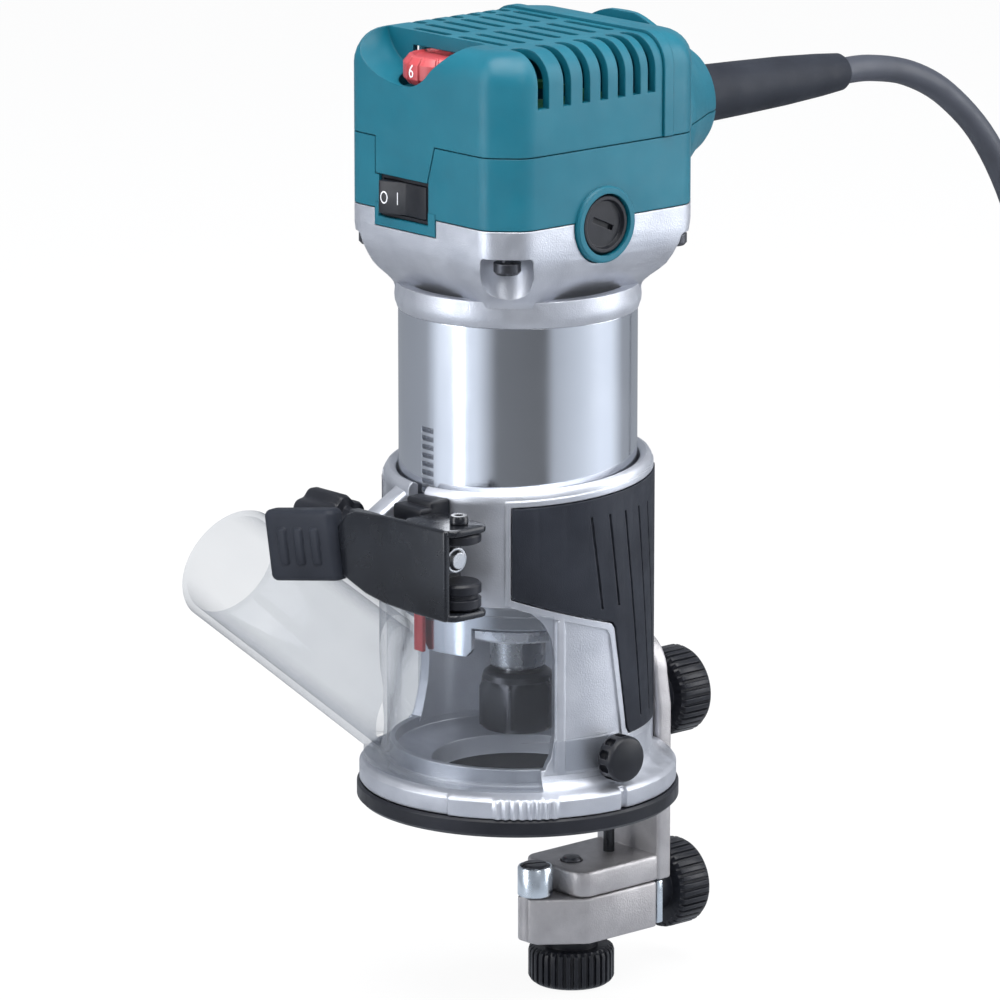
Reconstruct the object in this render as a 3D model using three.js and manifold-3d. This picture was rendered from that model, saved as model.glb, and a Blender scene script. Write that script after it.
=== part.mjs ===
// Trim router on its trimmer base: millimetres, +Z up along the bit axis, origin at the sole's middle.
// Front (switch, speed dial, lock lever) is -Y, rear (cord, roller guide) is +Y.
import * as THREE from 'three';
import { mergeVertices } from 'three/addons/utils/BufferGeometryUtils.js';
import Module from 'manifold-3d';

const wasm = await Module();
wasm.setup();

// ---------- driving dimensions ----------
const GAP = 0.3;
const SEG = 32;

const SOLE_R = 44.3;
const SOLE_T = 4.9;
const PLATE_R = 43.6;
const PLATE_TOP = 10.8;
const OPENING_R = 23;
const REAR_FLAT = 40.4;
const SHELL_R = 38.2;
const SHELL_IN = 33.3;
const RING_FRONT = 93;
const RING_BACK = 98;
const RING_TILT = 4;
const WINDOW_TOP = 60;
const WINDOW_RIGHT = 64;
const WINDOW_LEFT = -86;
const NOZZLE_REACH = 72;

const BARREL_R = 32.5;
const BARREL_IN = 29.6;
const BARREL_BOTTOM = 54;
const BEAD_Z = 138;
const CASTING_TOP = 166.3;
const SEAM_Z = 186;
const HEAD_TOP = 213.3;
const HEAD_W = 34.7;
const HEAD_F = -35.4;
const HEAD_B = 38.8;
const HEAD_CORNER = 11;
const REAR_SEAM = 21;
const SHELL_WALL = 2.6;

const DIAL_X = -4.5;
const DIAL_Y = -22.5;
const DIAL_R = 11;
const DIAL_LOW = 201.2;
const SCOOP_R = 16;
const FIRST_VENT_Y = -21.7;
const VENT_PITCH = 6.1;
const VENT_WIDTH = 2.6;
const SIDE_VENT_LOW = 198.6;

const BRUSH_Z = 165;
const CORD_Z = 187.5;
const CORD_R = 3.75;
const CORD_FLOOR = -58.2;

const MODULE = 0.75;
const PINION_TEETH = 11;
const PINION_Z = 77;
const PINION_Y = -35.9;
const RACK_LOW = PINION_Z - 9 * Math.PI * MODULE;
const RACK_TEETH = 23;
const THUMB_Z = 19;
const PIN_Y = 34;

const CLAMP_Z = 79;
const CLAMP_Y = -46;
const LEVER_PIN = [26.8, -44.6];
const SLEEVE_DROOP = 8.5;
const SLEEVE_FLARE = 11;
const LEVER_LOW = 63.6;
const LEVER_TOP = 88.6;

const GUIDE_W = 13;
const BRACKET_IN = 41;
const BRACKET_OUT = 45.8;
const BLOCK_LOW = -30.3;
const BLOCK_TOP = -23;
const SLIDER_LOW = -43.7;
const SLIDER_TOP = -30.6;
const GUIDE_SCREW_Z = 19.5;
const ADJUST_Z = -36.5;
const LOCK_Y = 20;
const ROLLER_Y = 6.5;
const KNOB_R = 12.3;

// ---------- colours ----------
const TEAL = [0x1f7488, 0.45, 0];
const SILVER = [0xb9bdc4, 0.42, 0.8];
const POLISHED = [0xc9ced6, 0.2, 0.95];
const WARM_CAST = [0x9a9491, 0.5, 0.7];
const ZINC = [0xb4c4cc, 0.3, 0.9];
const STEEL = [0x9c9fa3, 0.35, 0.9];
const BLACK = [0x1b1c20, 0.5, 0];
const RUBBER = [0x24262d, 0.75, 0];
const BLACK_STEEL = [0x17181c, 0.35, 0.6];
const RED = [0xd45a5e, 0.5, 0];
const CLEAR = [0xdfe5ea, 0.1, 0];
const COPPER = [0xb06a3a, 0.4, 0.9];
const CARBON = [0x2b2b2d, 0.8, 0];
const GREEN = [0x2c6a44, 0.6, 0];
const BRASS = [0xb9964c, 0.35, 0.9];

// ---------- solids ----------
function solid(geometry) {
  const plain = geometry.clone();
  for (const name of Object.keys(plain.attributes)) {
    if (name !== 'position') plain.deleteAttribute(name);
  }
  const welded = mergeVertices(plain, 1e-4);
  const mesh = new wasm.Mesh({
    numProp: 3,
    vertProperties: new Float32Array(welded.attributes.position.array),
    triVerts: new Uint32Array(welded.index.array),
  });
  return new wasm.Manifold(mesh);
}

function geometryOf(body) {
  const mesh = body.getMesh();
  const geometry = new THREE.BufferGeometry();
  geometry.setAttribute('position', new THREE.BufferAttribute(new Float32Array(mesh.vertProperties), 3));
  geometry.setIndex(new THREE.BufferAttribute(new Uint32Array(mesh.triVerts), 1));
  geometry.computeVertexNormals();
  return geometry;
}

function part(name, body, [color, roughness, metalness]) {
  const material = new THREE.MeshStandardMaterial({ color, roughness, metalness });
  const mesh = new THREE.Mesh(geometryOf(body), material);
  mesh.name = name;
  return mesh;
}

function span(x0, x1, y0, y1, z0, z1) {
  const box = new THREE.BoxGeometry(x1 - x0, y1 - y0, z1 - z0);
  box.translate((x0 + x1) / 2, (y0 + y1) / 2, (z0 + z1) / 2);
  return solid(box);
}

function rodZ(r, z0, z1, x = 0, y = 0, seg = SEG, rTop = r) {
  const rod = new THREE.CylinderGeometry(rTop, r, z1 - z0, seg);
  rod.rotateX(Math.PI / 2);
  rod.translate(x, y, (z0 + z1) / 2);
  return solid(rod);
}

function rodX(r, x0, x1, y, z, seg = SEG) {
  const rod = new THREE.CylinderGeometry(r, r, x1 - x0, seg);
  rod.rotateZ(-Math.PI / 2);
  rod.translate((x0 + x1) / 2, y, z);
  return solid(rod);
}

function rodY(r, y0, y1, x, z, seg = SEG, rEnd = r) {
  const rod = new THREE.CylinderGeometry(rEnd, r, y1 - y0, seg);
  rod.translate(x, (y0 + y1) / 2, z);
  return solid(rod);
}

function turned(profile, seg = SEG) {
  const points = profile.map(([r, z]) => new THREE.Vector2(r, z));
  const lathe = new THREE.LatheGeometry(points, seg);
  lathe.rotateX(Math.PI / 2);
  return solid(lathe);
}

function prism(shape, z0, z1, curveSegments = 8) {
  const extruded = new THREE.ExtrudeGeometry(shape, { depth: z1 - z0, bevelEnabled: false,
    curveSegments });
  extruded.translate(0, 0, z0);
  return solid(extruded);
}

// azimuth in degrees, counted from the front (-Y) towards +X
function onRing(r, azimuth) {
  const t = THREE.MathUtils.degToRad(azimuth);
  return [r * Math.sin(t), -r * Math.cos(t)];
}

function sector(r0, r1, a0, a1, z0, z1) {
  const shape = new THREE.Shape();
  const t0 = THREE.MathUtils.degToRad(a0 - 90);
  const t1 = THREE.MathUtils.degToRad(a1 - 90);
  shape.absarc(0, 0, r1, t0, t1, false);
  shape.absarc(0, 0, r0, t1, t0, true);
  shape.closePath();
  return prism(shape, z0, z1, Math.max(1, Math.ceil((a1 - a0) / 14)));
}

function roundedPlan(x0, x1, y0, y1, r) {
  const shape = new THREE.Shape();
  shape.absarc(x1 - r, y0 + r, r, -Math.PI / 2, 0, false);
  shape.absarc(x1 - r, y1 - r, r, 0, Math.PI / 2, false);
  shape.absarc(x0 + r, y1 - r, r, Math.PI / 2, Math.PI, false);
  shape.absarc(x0 + r, y0 + r, r, Math.PI, Math.PI * 1.5, false);
  shape.closePath();
  return shape;
}

function knob(r, y0, y1, ribs, depth) {
  let body = rodY(r, y0, y1, 0, 0, 36);
  for (let i = 0; i < ribs; i += 1) {
    const t = (i * 2 * Math.PI) / ribs;
    body = body.subtract(rodY(depth, y0 - 1, y1 - 1.6, r * Math.cos(t), r * Math.sin(t), 4));
  }
  return body;
}

// ---------- base ----------
function baseFrame() {
  let body = turned([
    [OPENING_R, SOLE_T + GAP], [PLATE_R, SOLE_T + GAP], [PLATE_R, 9.4], [42.4, PLATE_TOP],
    [SHELL_R, PLATE_TOP + 1.6], [SHELL_R, 90], [36.6, RING_BACK], [SHELL_IN, RING_BACK],
    [SHELL_IN, 14], [OPENING_R, PLATE_TOP], [OPENING_R, SOLE_T + GAP],
  ], 44);
  const slope = new THREE.BoxGeometry(100, 100, 20);
  slope.translate(0, 36.4, 10);
  slope.rotateX(THREE.MathUtils.degToRad(RING_TILT));
  slope.translate(0, -36.4, RING_FRONT);
  body = body.subtract(solid(slope));
  body = body.subtract(sector(30, 50, WINDOW_LEFT, WINDOW_RIGHT, PLATE_TOP + 2, WINDOW_TOP));
  body = body.subtract(sector(30, 50, 150, 210, 32, 58));
  const rearPad = span(-11, 11, 34, REAR_FLAT, 9, 29).subtract(rodZ(SHELL_IN, 5, 40, 0, 0, 44));
  const lugs = span(-9.5, -4.2, -49, -31, 68, 84.8).add(span(4.2, 13.6, -49, -31, 68, 84.8));
  body = body.add(rearPad).add(lugs.subtract(rodZ(SHELL_IN, 60, 95, 0, 0, 44)));
  body = body.subtract(span(-3.2, 3.2, -60, -28, 56, 100));
  body = body.subtract(span(-60, 60, REAR_FLAT, 60, 0, 30));
  body = body.subtract(rodX(3.2, -18, 15, CLAMP_Y, CLAMP_Z, 20));
  body = body.subtract(rodX(3.4, -18, 9, PINION_Y, PINION_Z, 20));
  body = body.subtract(rodY(3.1, 33.5, 45, 0, GUIDE_SCREW_Z, 20));
  body = body.subtract(rodX(2.7, 35, 45, 0, THUMB_Z, 20)).subtract(rodZ(2, 0, 14, 0, PIN_Y, 16));
  for (const a of [45, 135, 225, 315]) {
    const [x, y] = onRing(33.5, a);
    body = body.subtract(rodZ(1.9, 0, 8.6, x, y, 16));
  }
  return part('base_frame', body, SILVER);
}

function soleRing() {
  let body = turned([[OPENING_R + 1, 0], [SOLE_R - 0.6, 0], [SOLE_R, 0.8], [SOLE_R, SOLE_T],
    [OPENING_R + 1, SOLE_T],
    [OPENING_R + 1, 0]], 44);
  body = body.subtract(span(-60, 60, REAR_FLAT, 60, -1, 10)).subtract(rodZ(2, -1, 8, 0, PIN_Y, 16));
  for (const a of [45, 135, 225, 315]) {
    const [x, y] = onRing(33.5, a);
    body = body.subtract(rodZ(3.4, -1, 2.6, x, y, 20)).subtract(rodZ(1.9, -1, 8, x, y, 16));
  }
  return part('sole_ring', body, BLACK);
}

function grip(name, side) {
  const a0 = 46;
  const a1 = 142;
  let body = sector(SHELL_R + GAP, SHELL_R + 2.6, a0, a1, 62, 88);
  body = body.add(sector(SHELL_R + GAP, SHELL_R + 2.4, 96, a1, 30, 63));
  for (let i = 0; i < 5; i += 1) {
    const a = 72 + i * 9;
    body = body.subtract(sector(SHELL_R + 2, SHELL_R + 4, a, a + 1.4, 64, 86));
  }
  return part(name, side > 0 ? body : body.mirror([1, 0, 0]), RUBBER);
}

function dustNozzle() {
  const wall = sector(35.6, 38, WINDOW_LEFT + 1, WINDOW_RIGHT - 1, PLATE_TOP + 2 + GAP, WINDOW_TOP - GAP);
  const tilt = THREE.MathUtils.degToRad(17);
  const pipe = (r, back, reach) => {
    const tube = new THREE.CylinderGeometry(r, r, reach + back, SEG);
    tube.translate(0, (reach - back) / 2, 0);
    tube.rotateZ(Math.PI / 2);
    tube.rotateY(tilt);
    tube.translate(-33, -18.5, 28);
    return solid(tube);
  };
  const past = sector(SHELL_R - 3, 80, WINDOW_LEFT - 100, WINDOW_LEFT + 0.5, 0, 80);
  let body = pipe(17.3, 12, NOZZLE_REACH).subtract(rodZ(37, 0, 90, 0, 0, 48));
  body = body.subtract(span(-140, 0, -60, 60, 0, PLATE_TOP + 2 + GAP)).subtract(past).add(wall);
  body = body.subtract(pipe(15.3, 22, NOZZLE_REACH + 1));
  const tab = sector(SHELL_R + GAP, 40.3, 52, 95, 14, 26).add(sector(36, 40.3, 52, 60, 14, 26));
  return part('dust_nozzle', body.add(tab).subtract(rodX(2.7, 30, 60, 0, THUMB_Z, 20)), CLEAR);
}

function nozzleThumbScrew() {
  let head = rodX(6.5, 40.6, 46, 0, THUMB_Z, 30);
  for (let i = 0; i < 10; i += 1) {
    const t = (i * Math.PI) / 5;
    head = head.subtract(rodX(1.1, 40, 44.8, 6.8 * Math.cos(t), THUMB_Z + 6.8 * Math.sin(t), 8));
  }
  return part('nozzle_thumb_screw', head.add(rodX(2.2, 35.4, 41, 0, THUMB_Z, 16)), BLACK);
}

function depthPinion() {
  const root = MODULE * (PINION_TEETH / 2 - 1.2);
  let body = rodX(2.4, -46, 8.5, PINION_Y, PINION_Z, 16)
    .add(rodX(root, -2.6, 2.6, PINION_Y, PINION_Z, 22));
  for (let i = 0; i < PINION_TEETH; i += 1) {
    const tooth = new THREE.BoxGeometry(5.2, 1.9, 0.85);
    tooth.translate(0, root + 0.6, 0);
    tooth.rotateX((i * 2 * Math.PI) / PINION_TEETH);
    tooth.translate(0, PINION_Y, PINION_Z);
    body = body.add(solid(tooth));
  }
  return part('depth_pinion', body, STEEL);
}

function depthKnob() {
  let body = rodX(7.6, -45, -28, PINION_Y, PINION_Z, 30);
  for (let i = 0; i < 6; i += 1) {
    const t = ((i + 0.5) * Math.PI) / 3;
    const at = [PINION_Y + 9 * Math.cos(t), PINION_Z + 9 * Math.sin(t)];
    body = body.subtract(rodX(2.9, -46, -31, at[0], at[1], 14));
  }
  body = body.add(rodX(4.4, -28.2, -22, PINION_Y, PINION_Z, 24));
  return part('depth_knob', body.subtract(rodX(2.7, -50, -10, PINION_Y, PINION_Z, 16)), BLACK);
}

function lockLever() {
  const face = new THREE.Shape([
    new THREE.Vector2(-22, 69), new THREE.Vector2(-12, 69), new THREE.Vector2(2, 64.5),
    new THREE.Vector2(16, LEVER_LOW), new THREE.Vector2(31, LEVER_LOW), new THREE.Vector2(31, LEVER_TOP),
    new THREE.Vector2(-10, 87), new THREE.Vector2(-13, 81), new THREE.Vector2(-22, 81),
  ]);
  const sheet = new THREE.ExtrudeGeometry(face, { depth: 1.8, bevelEnabled: false });
  sheet.rotateX(Math.PI / 2);
  sheet.translate(0, -51.2, 0);
  let body = solid(sheet);
  const flange = roundedPlan(12, 33, -53, -39, 3);
  body = body.add(prism(flange, LEVER_TOP - 1.8, LEVER_TOP, 4))
    .add(prism(flange, LEVER_LOW, LEVER_LOW + 1.8, 4));
  body = body.add(span(-9, 13, -52, -49.6, 85.2, 87)).add(span(16, 33, -52, -51.2, 63.8, 88.4));
  body = body.subtract(rodZ(2.3, 60, 95, LEVER_PIN[0], LEVER_PIN[1], 16));
  return part('lock_lever', body, BLACK_STEEL);
}

function leverSleeve() {
  let body = prism(roundedPlan(-24.5, 0, -3.3, 3.3, 3), -9.8, 9.8, 4);
  for (const x of [-19.4, -13.7, -8]) {
    body = body.add(span(x, x + 3.3, -4, -3, -5.2, 5.2));
  }
  body = body.rotate([0, -SLEEVE_DROOP, 0]).rotate([0, 0, SLEEVE_FLARE]).translate([-12.5, -52.3, 77]);
  return part('lever_sleeve', body.subtract(span(-22.3, -8, -53.3, -50.9, 68.7, 81.3)), RUBBER);
}

function leverPin() {
  const [x, y] = LEVER_PIN;
  const head = rodZ(3.1, LEVER_TOP + GAP, LEVER_TOP + 2.1, x, y, 20);
  return part('lever_pin', head.add(rodZ(2, LEVER_LOW - 1, LEVER_TOP + 1, x, y, 16)), STEEL);
}

function clampCam() {
  const [x, y] = LEVER_PIN;
  const drum = rodZ(5.6, 65.7, 86.5, x, y, 24).add(span(18, x, -49.6, -40, 66, 86.2));
  const body = drum.subtract(rodZ(2.3, 60, 90, x, y, 16))
    .subtract(rodX(3.1, 10, 40, CLAMP_Y, CLAMP_Z, 16))
    .subtract(span(22.5, 35, -50, -38, 75, 83));
  return part('clamp_cam', body, BLACK);
}

function clampHardware() {
  const bolt = rodX(2.5, -12, 23.4, CLAMP_Y, CLAMP_Z, 16).add(rodX(4.4, -13, -9.8, CLAMP_Y, CLAMP_Z, 6));
  const nutTrim = rodX(2.8, 10, 30, CLAMP_Y, CLAMP_Z, 16);
  const nut = rodX(4.2, 14, 17.6, CLAMP_Y, CLAMP_Z, 6).subtract(nutTrim);
  return [part('clamp_bolt', bolt, STEEL), part('clamp_nut', nut, STEEL)];
}

function lugCap() {
  const body = span(-2.8, 11.6, -45, -34, 85.1, 90.8).subtract(rodZ(SHELL_R + GAP, 60, 100, 0, 0, 48));
  return part('lug_cap', body, BLACK);
}

// ---------- motor ----------
function motorHousing() {
  const flare = turned([[0, BEAD_Z], [33.2, BEAD_Z], [34.2, 140], [33.6, 144], [36, 148], [44, 157],
    [46.5, 163], [52, 166],
    [52, CASTING_TOP], [0, CASTING_TOP]], 48);
  let body = flare.intersect(prism(roundedPlan(-HEAD_W, HEAD_W, HEAD_F, HEAD_B, HEAD_CORNER), 130, 170));
  for (const [x, y] of housingCorners()) {
    body = body.subtract(rodZ(5, 130, 157, x * 1.04, y * 1.04, 20))
      .subtract(rodZ(2.2, 150, 170, x, y, 12));
  }
  body = body.add(rodZ(BARREL_R, BARREL_BOTTOM, BEAD_Z + 1, 0, 0, 44));
  body = body.add(sector(30.4, BARREL_R - 0.1, -2, 26, 47, BARREL_BOTTOM + 1));
  body = body.subtract(rodZ(BARREL_IN, 66, BEAD_Z, 0, 0, 48))
    .subtract(rodZ(29, BEAD_Z - 1, CASTING_TOP + 1, 0, 0, 48));
  body = body.subtract(rodZ(16.3, 50, 70, 0, 0, 32));
  for (const side of [-1, 1]) {
    const x0 = side > 0 ? 20 : -40;
    body = body.subtract(rodX(10.6, x0, x0 + 20, 0, BRUSH_Z, 32));
  }
  body = body.subtract(span(-19, 6.5, -40, -21.6, 161.2, 170));
  for (let i = 0; i < RACK_TEETH; i += 1) {
    const z = RACK_LOW + i * Math.PI * MODULE;
    body = body.subtract(span(-3.4, 3.4, -34, -BARREL_R + 1.7, z - 0.62, z + 0.62));
  }
  return part('motor_housing', body, POLISHED);
}

function housingCorners() {
  return [[26.4, -27], [26.4, 30.4], [-26.4, 30.4], [-26.4, -27]];
}

function housingScrew(index, [x, y]) {
  const body = rodZ(3.2, 153.6, 156.7, x, y, 16).add(rodZ(1.8, 156.5, 172, x, y, 12));
  return part(`housing_screw_${index}`, body, STEEL);
}

function brushBoss(side) {
  const x = side > 0 ? [22, HEAD_W + 1] : [-HEAD_W - 1, -22];
  return rodX(10.2, x[0], x[1], 0, BRUSH_Z, 32);
}

function lowerHousing() {
  const outline = roundedPlan(-HEAD_W, HEAD_W, HEAD_F, HEAD_B, HEAD_CORNER);
  const inner = roundedPlan(-HEAD_W + SHELL_WALL, HEAD_W - SHELL_WALL, HEAD_F + SHELL_WALL,
    HEAD_B - SHELL_WALL, 8);
  let body = prism(outline, CASTING_TOP + GAP, SEAM_Z - 0.15, 5);
  body = body.subtract(prism(inner, CASTING_TOP - 1, SEAM_Z + 1, 5));
  body = body.add(span(-18.4, 5.9, HEAD_F + 0.4, HEAD_F + 4, 161.8, 167));
  body = body.add(brushBoss(1)).add(brushBoss(-1));
  for (const [x, y] of housingCorners()) {
    body = body.add(rodZ(5.6, CASTING_TOP + GAP, 176, x, y, 16).intersect(prism(outline, 160, 180, 5)));
    body = body.subtract(rodZ(2.1, 160, 174, x, y, 12));
  }
  body = body.subtract(span(-16.6, 4.2, -40, -30, 164, 176.2));
  body = body.subtract(rodX(8.4, 28.4, 40, 0, BRUSH_Z, 32))
    .subtract(rodX(8.4, -40, -28.4, 0, BRUSH_Z, 32));
  body = body.subtract(rodX(6.4, 10, 40, 0, BRUSH_Z, 24)).subtract(rodX(6.4, -40, -10, 0, BRUSH_Z, 24));
  body = body.subtract(rodY(9.5, 30, 62, 0, CORD_Z, 32));
  return part('lower_housing', body.subtract(rodZ(20, 150, 190, 0, 0, 32)), TEAL);
}

function coverShell(y0, y1) {
  const plan = roundedPlan(-HEAD_W, HEAD_W, HEAD_F, HEAD_B, HEAD_CORNER);
  const inner = roundedPlan(-HEAD_W + SHELL_WALL, HEAD_W - SHELL_WALL, HEAD_F + SHELL_WALL,
    HEAD_B - SHELL_WALL, 8);
  const bevel = { depth: HEAD_TOP - SEAM_Z - 5, bevelEnabled: true, bevelThickness: 5, bevelSize: 5,
    bevelOffset: -5,
    bevelSegments: 3, curveSegments: 5 };
  const outer = new THREE.ExtrudeGeometry(plan, bevel);
  outer.translate(0, 0, SEAM_Z);
  let body = solid(outer).intersect(span(-60, 60, y0, y1, SEAM_Z + 0.15, HEAD_TOP + 1));
  return body.subtract(prism(inner, SEAM_Z - 1, HEAD_TOP - 3, 5));
}

function topCover() {
  let body = coverShell(-60, REAR_SEAM - 0.15);
  for (let i = 0; i < 7; i += 1) {
    const y = i === 0 ? FIRST_VENT_Y : FIRST_VENT_Y + 8 + (i - 1) * VENT_PITCH;
    const half = i === 0 ? 2 : VENT_WIDTH / 2;
    body = body.subtract(span(22.6, 40, y - half, y + half, SIDE_VENT_LOW, HEAD_TOP + 2));
    body = body.subtract(span(-40, -22.6, y - half, y + half, SIDE_VENT_LOW, HEAD_TOP + 2));
    if (i > 0) {
      body = body.subtract(span(-21.5, -4.4, y - half, y + half, HEAD_TOP - 5, HEAD_TOP + 1));
      body = body.subtract(span(-0.9, 18.2, y - half, y + half, HEAD_TOP - 5, HEAD_TOP + 1));
    }
  }
  const bowl = rodY(SCOOP_R, -60, DIAL_Y, DIAL_X, SCOOP_R + 201, 40);
  const well = rodZ(DIAL_R + 1.1, 200.4, 210, DIAL_X, DIAL_Y, 32);
  return part('top_cover', body.subtract(bowl).subtract(well), TEAL);
}

function rearCover() {
  let body = coverShell(REAR_SEAM + 0.15, 60);
  const boss = rodY(23, HEAD_B - 4, 60, 0, CORD_Z, 36, 14.4);
  body = body.add(boss.subtract(span(-60, 60, -60, HEAD_B - SHELL_WALL, 100, 300)));
  body = body.subtract(span(-30, 30, 0, HEAD_B + 0.2, 150, SEAM_Z + 0.15));
  body = body.subtract(rodY(8.8, 30, 57, 0, CORD_Z, 32)).subtract(rodY(6.4, 50, 70, 0, CORD_Z, 32));
  return part('rear_cover', body, TEAL);
}

function speedDial() {
  let body = rodZ(DIAL_R, DIAL_LOW, DIAL_LOW + 7, DIAL_X, DIAL_Y, 28);
  body = body.subtract(rodZ(2.6, 195, 206, DIAL_X, DIAL_Y, 16));
  return part('speed_dial', body, RED);
}

function dialPost() {
  return rodZ(2.2, 196.2, 205.6, DIAL_X, DIAL_Y, 16);
}

function controlBoard() {
  const board = span(-24, 24, -31.6, 16, 194.4, 196.4)
    .subtract(span(-40, 40, -15, 30, 190, 200).intersect(
    rodZ(15, 190, 200, 0, 0, 24)));
  return part('control_board', board.add(dialPost()), GREEN);
}

function switchBody() {
  const body = span(-15.9, 3.5, -33.6, -22, 164.8, 175.6)
    .subtract(span(-15.2, 2.8, -34, -27.4, 165.4, 175));
  return part('switch_body', body, BLACK);
}

function switchRocker() {
  const plan = new THREE.Shape([
    new THREE.Vector2(-14.9, -37), new THREE.Vector2(-6.2, -34.6), new THREE.Vector2(2.5, -34),
    new THREE.Vector2(2.2, -31.2), new THREE.Vector2(-6.2, -30.6), new THREE.Vector2(-14.6, -31.6),
  ]);
  return part('switch_rocker', prism(plan, 165.8, 174.6), BLACK);
}

function brushCap(name, side) {
  let body = rodX(8, 29, 34.6, 0, BRUSH_Z, 32).subtract(rodX(6.2, 33.8, 36, 0, BRUSH_Z, 28));
  body = body.subtract(span(33, 36, -3.6, 3.6, BRUSH_Z - 0.7, BRUSH_Z + 0.7));
  return part(name, side > 0 ? body : body.mirror([1, 0, 0]), BLACK);
}

function brushHolder(name, side) {
  const body = rodX(6, 14.6, 28.6, 0, BRUSH_Z, 24)
    .subtract(span(10, 30, -3.4, 3.4, BRUSH_Z - 2.6, BRUSH_Z + 2.6));
  return part(name, side > 0 ? body : body.mirror([1, 0, 0]), BRASS);
}

function carbonBrush(name, side) {
  const body = span(12.4, 24, -3, 3, BRUSH_Z - 2.3, BRUSH_Z + 2.3);
  return part(name, side > 0 ? body : body.mirror([1, 0, 0]), CARBON);
}

function fieldCore() {
  let body = rodZ(BARREL_IN - GAP, 84, 130, 0, 0, 48).subtract(rodZ(16.2, 80, 140, 0, 0, 40));
  for (const side of [-1, 1]) {
    body = body.subtract(span(-11, 11, side > 0 ? 18 : -25, side > 0 ? 25 : -18, 80, 140));
  }
  return part('field_core', body, STEEL);
}

function rotor() {
  let core = rodZ(15.6, 86, 128, 0, 0, 36).subtract(rodZ(5.3, 80, 140, 0, 0, 24));
  for (let i = 0; i < 12; i += 1) {
    const t = (i * Math.PI) / 6;
    core = core.subtract(rodZ(1.1, 80, 140, 15 * Math.cos(t), 15 * Math.sin(t), 6));
  }
  const commutator = rodZ(12, 158, 173, 0, 0, 24).subtract(rodZ(5.3, 150, 180, 0, 0, 24));
  const spindle = turned([[0, 36], [4.5, 36], [4.5, 37], [7.6, 37.4], [7.6, 54], [5.6, 54.4], [5.6, 66],
    [5, 66.4], [5, 176],
    [4, 176.4], [4, 190], [0, 190]], 24);
  return [part('rotor_core', core, STEEL), part('commutator', commutator, COPPER), part('spindle',
    spindle, STEEL)];
}

function coolingFan() {
  let body = rodZ(27.6, 76, 77.4, 0, 0, 36).add(rodZ(8.4, 68, 77, 0, 0, 24));
  for (let i = 0; i < 9; i += 1) {
    const blade = new THREE.BoxGeometry(19.3, 1.2, 6);
    blade.translate(16.7, 0, 73.7);
    blade.rotateZ((i * 2 * Math.PI) / 9);
    body = body.add(solid(blade));
  }
  return part('cooling_fan', body.subtract(rodZ(5.4, 60, 80, 0, 0, 24)), BLACK);
}

function bearings() {
  const lower = rodZ(14, 56.3, 65.4, 0, 0, 32).subtract(rodZ(6, 50, 70, 0, 0, 24));
  const upper = rodZ(9.6, 178, 185, 0, 0, 28).subtract(rodZ(4.4, 170, 190, 0, 0, 24));
  const retainer = turned([[8, 46.7], [16, 46.7], [16, 56], [8, 56], [8, 46.7]], 32);
  const holder = rodZ(14, 176.5, 190.5, 0, 0, 32).subtract(rodZ(9.9, 177.8, 192, 0, 0, 28))
    .subtract(rodZ(6, 170, 180, 0, 0, 24)).add(span(-32, -13, -4, 4, 187, 190))
      .add(span(13, 32, -4, 4, 187, 190));
  return [part('lower_bearing', lower, STEEL), part('upper_bearing', upper, STEEL),
    part('bearing_retainer', retainer, SILVER), part('bearing_bridge', holder, BLACK)];
}

function colletParts() {
  const hex = rodZ(11.2, 19.5, 33.5, 0, 0, 6).intersect(turned([[0, 19.5], [10.4, 19.5], [11.4, 20.6],
    [11.4, 31],
    [9, 35.6], [0, 35.6]], 32));
  const nut = hex.add(rodZ(8.8, 33, 35.8, 0, 0, 28)).subtract(rodZ(5.2, 22, 40, 0, 0, 24))
    .subtract(rodZ(4.1, 10, 30, 0, 0, 24));
  const cone = turned([[3.2, 20.2], [3.9, 20.2], [3.9, 22.4], [4.9, 23], [4.9, 34], [3.2, 35.6],
    [3.2, 20.2]], 24);
  return [part('collet_nut', nut, BLACK_STEEL), part('collet_cone', cone, STEEL)];
}

// ---------- cord ----------
const CORD_PATH = [[0, 120.6, 187.5], [0, 132, 187.2], [0.5, 147, 184], [1, 162, 176], [2, 177, 161],
  [3.5, 189, 138], [5, 197.5, 108], [6.5, 202, 74], [8, 204.5, 38], [9, 206, 4], [10, 208, -22],
    [10, 213, -39],
  [10, 222, -50], [10, 236, CORD_FLOOR + 3.8]];
const COIL = { x: 58.5, y: 264, inner: 29.5, outer: 52.5, height: 22.6 };

function cordSleeve() {
  const body = rodY(8.3, 60.3, 120.3, 0, CORD_Z, 24, 5);
  const neck = rodY(6.1, 52, 60.4, 0, CORD_Z, 24);
  const flange = rodY(8.4, 48, 52.2, 0, CORD_Z, 24);
  return part('cord_sleeve', body.add(neck).add(flange), BLACK);
}

function cordCurve() {
  return new THREE.CatmullRomCurve3(CORD_PATH.map(([x, y, z]) => new THREE.Vector3(x, y, z)), false,
    'centripetal');
}

function powerCord() {
  const section = new THREE.Shape();
  section.absarc(0, 0, CORD_R, 0, Math.PI * 2, false);
  const tube = new THREE.ExtrudeGeometry(section, { steps: 30, bevelEnabled: false, curveSegments: 5,
    extrudePath: cordCurve() });
  return part('power_cord', solid(tube), BLACK);
}

function cordCoil() {
  const { inner, outer, height } = COIL;
  const ring = turned([[inner, 0], [outer, 0], [outer, height], [inner, height], [inner, 0]], 32);
  return part('cord_coil', ring.translate([COIL.x, COIL.y, CORD_FLOOR]), BLACK);
}

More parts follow.
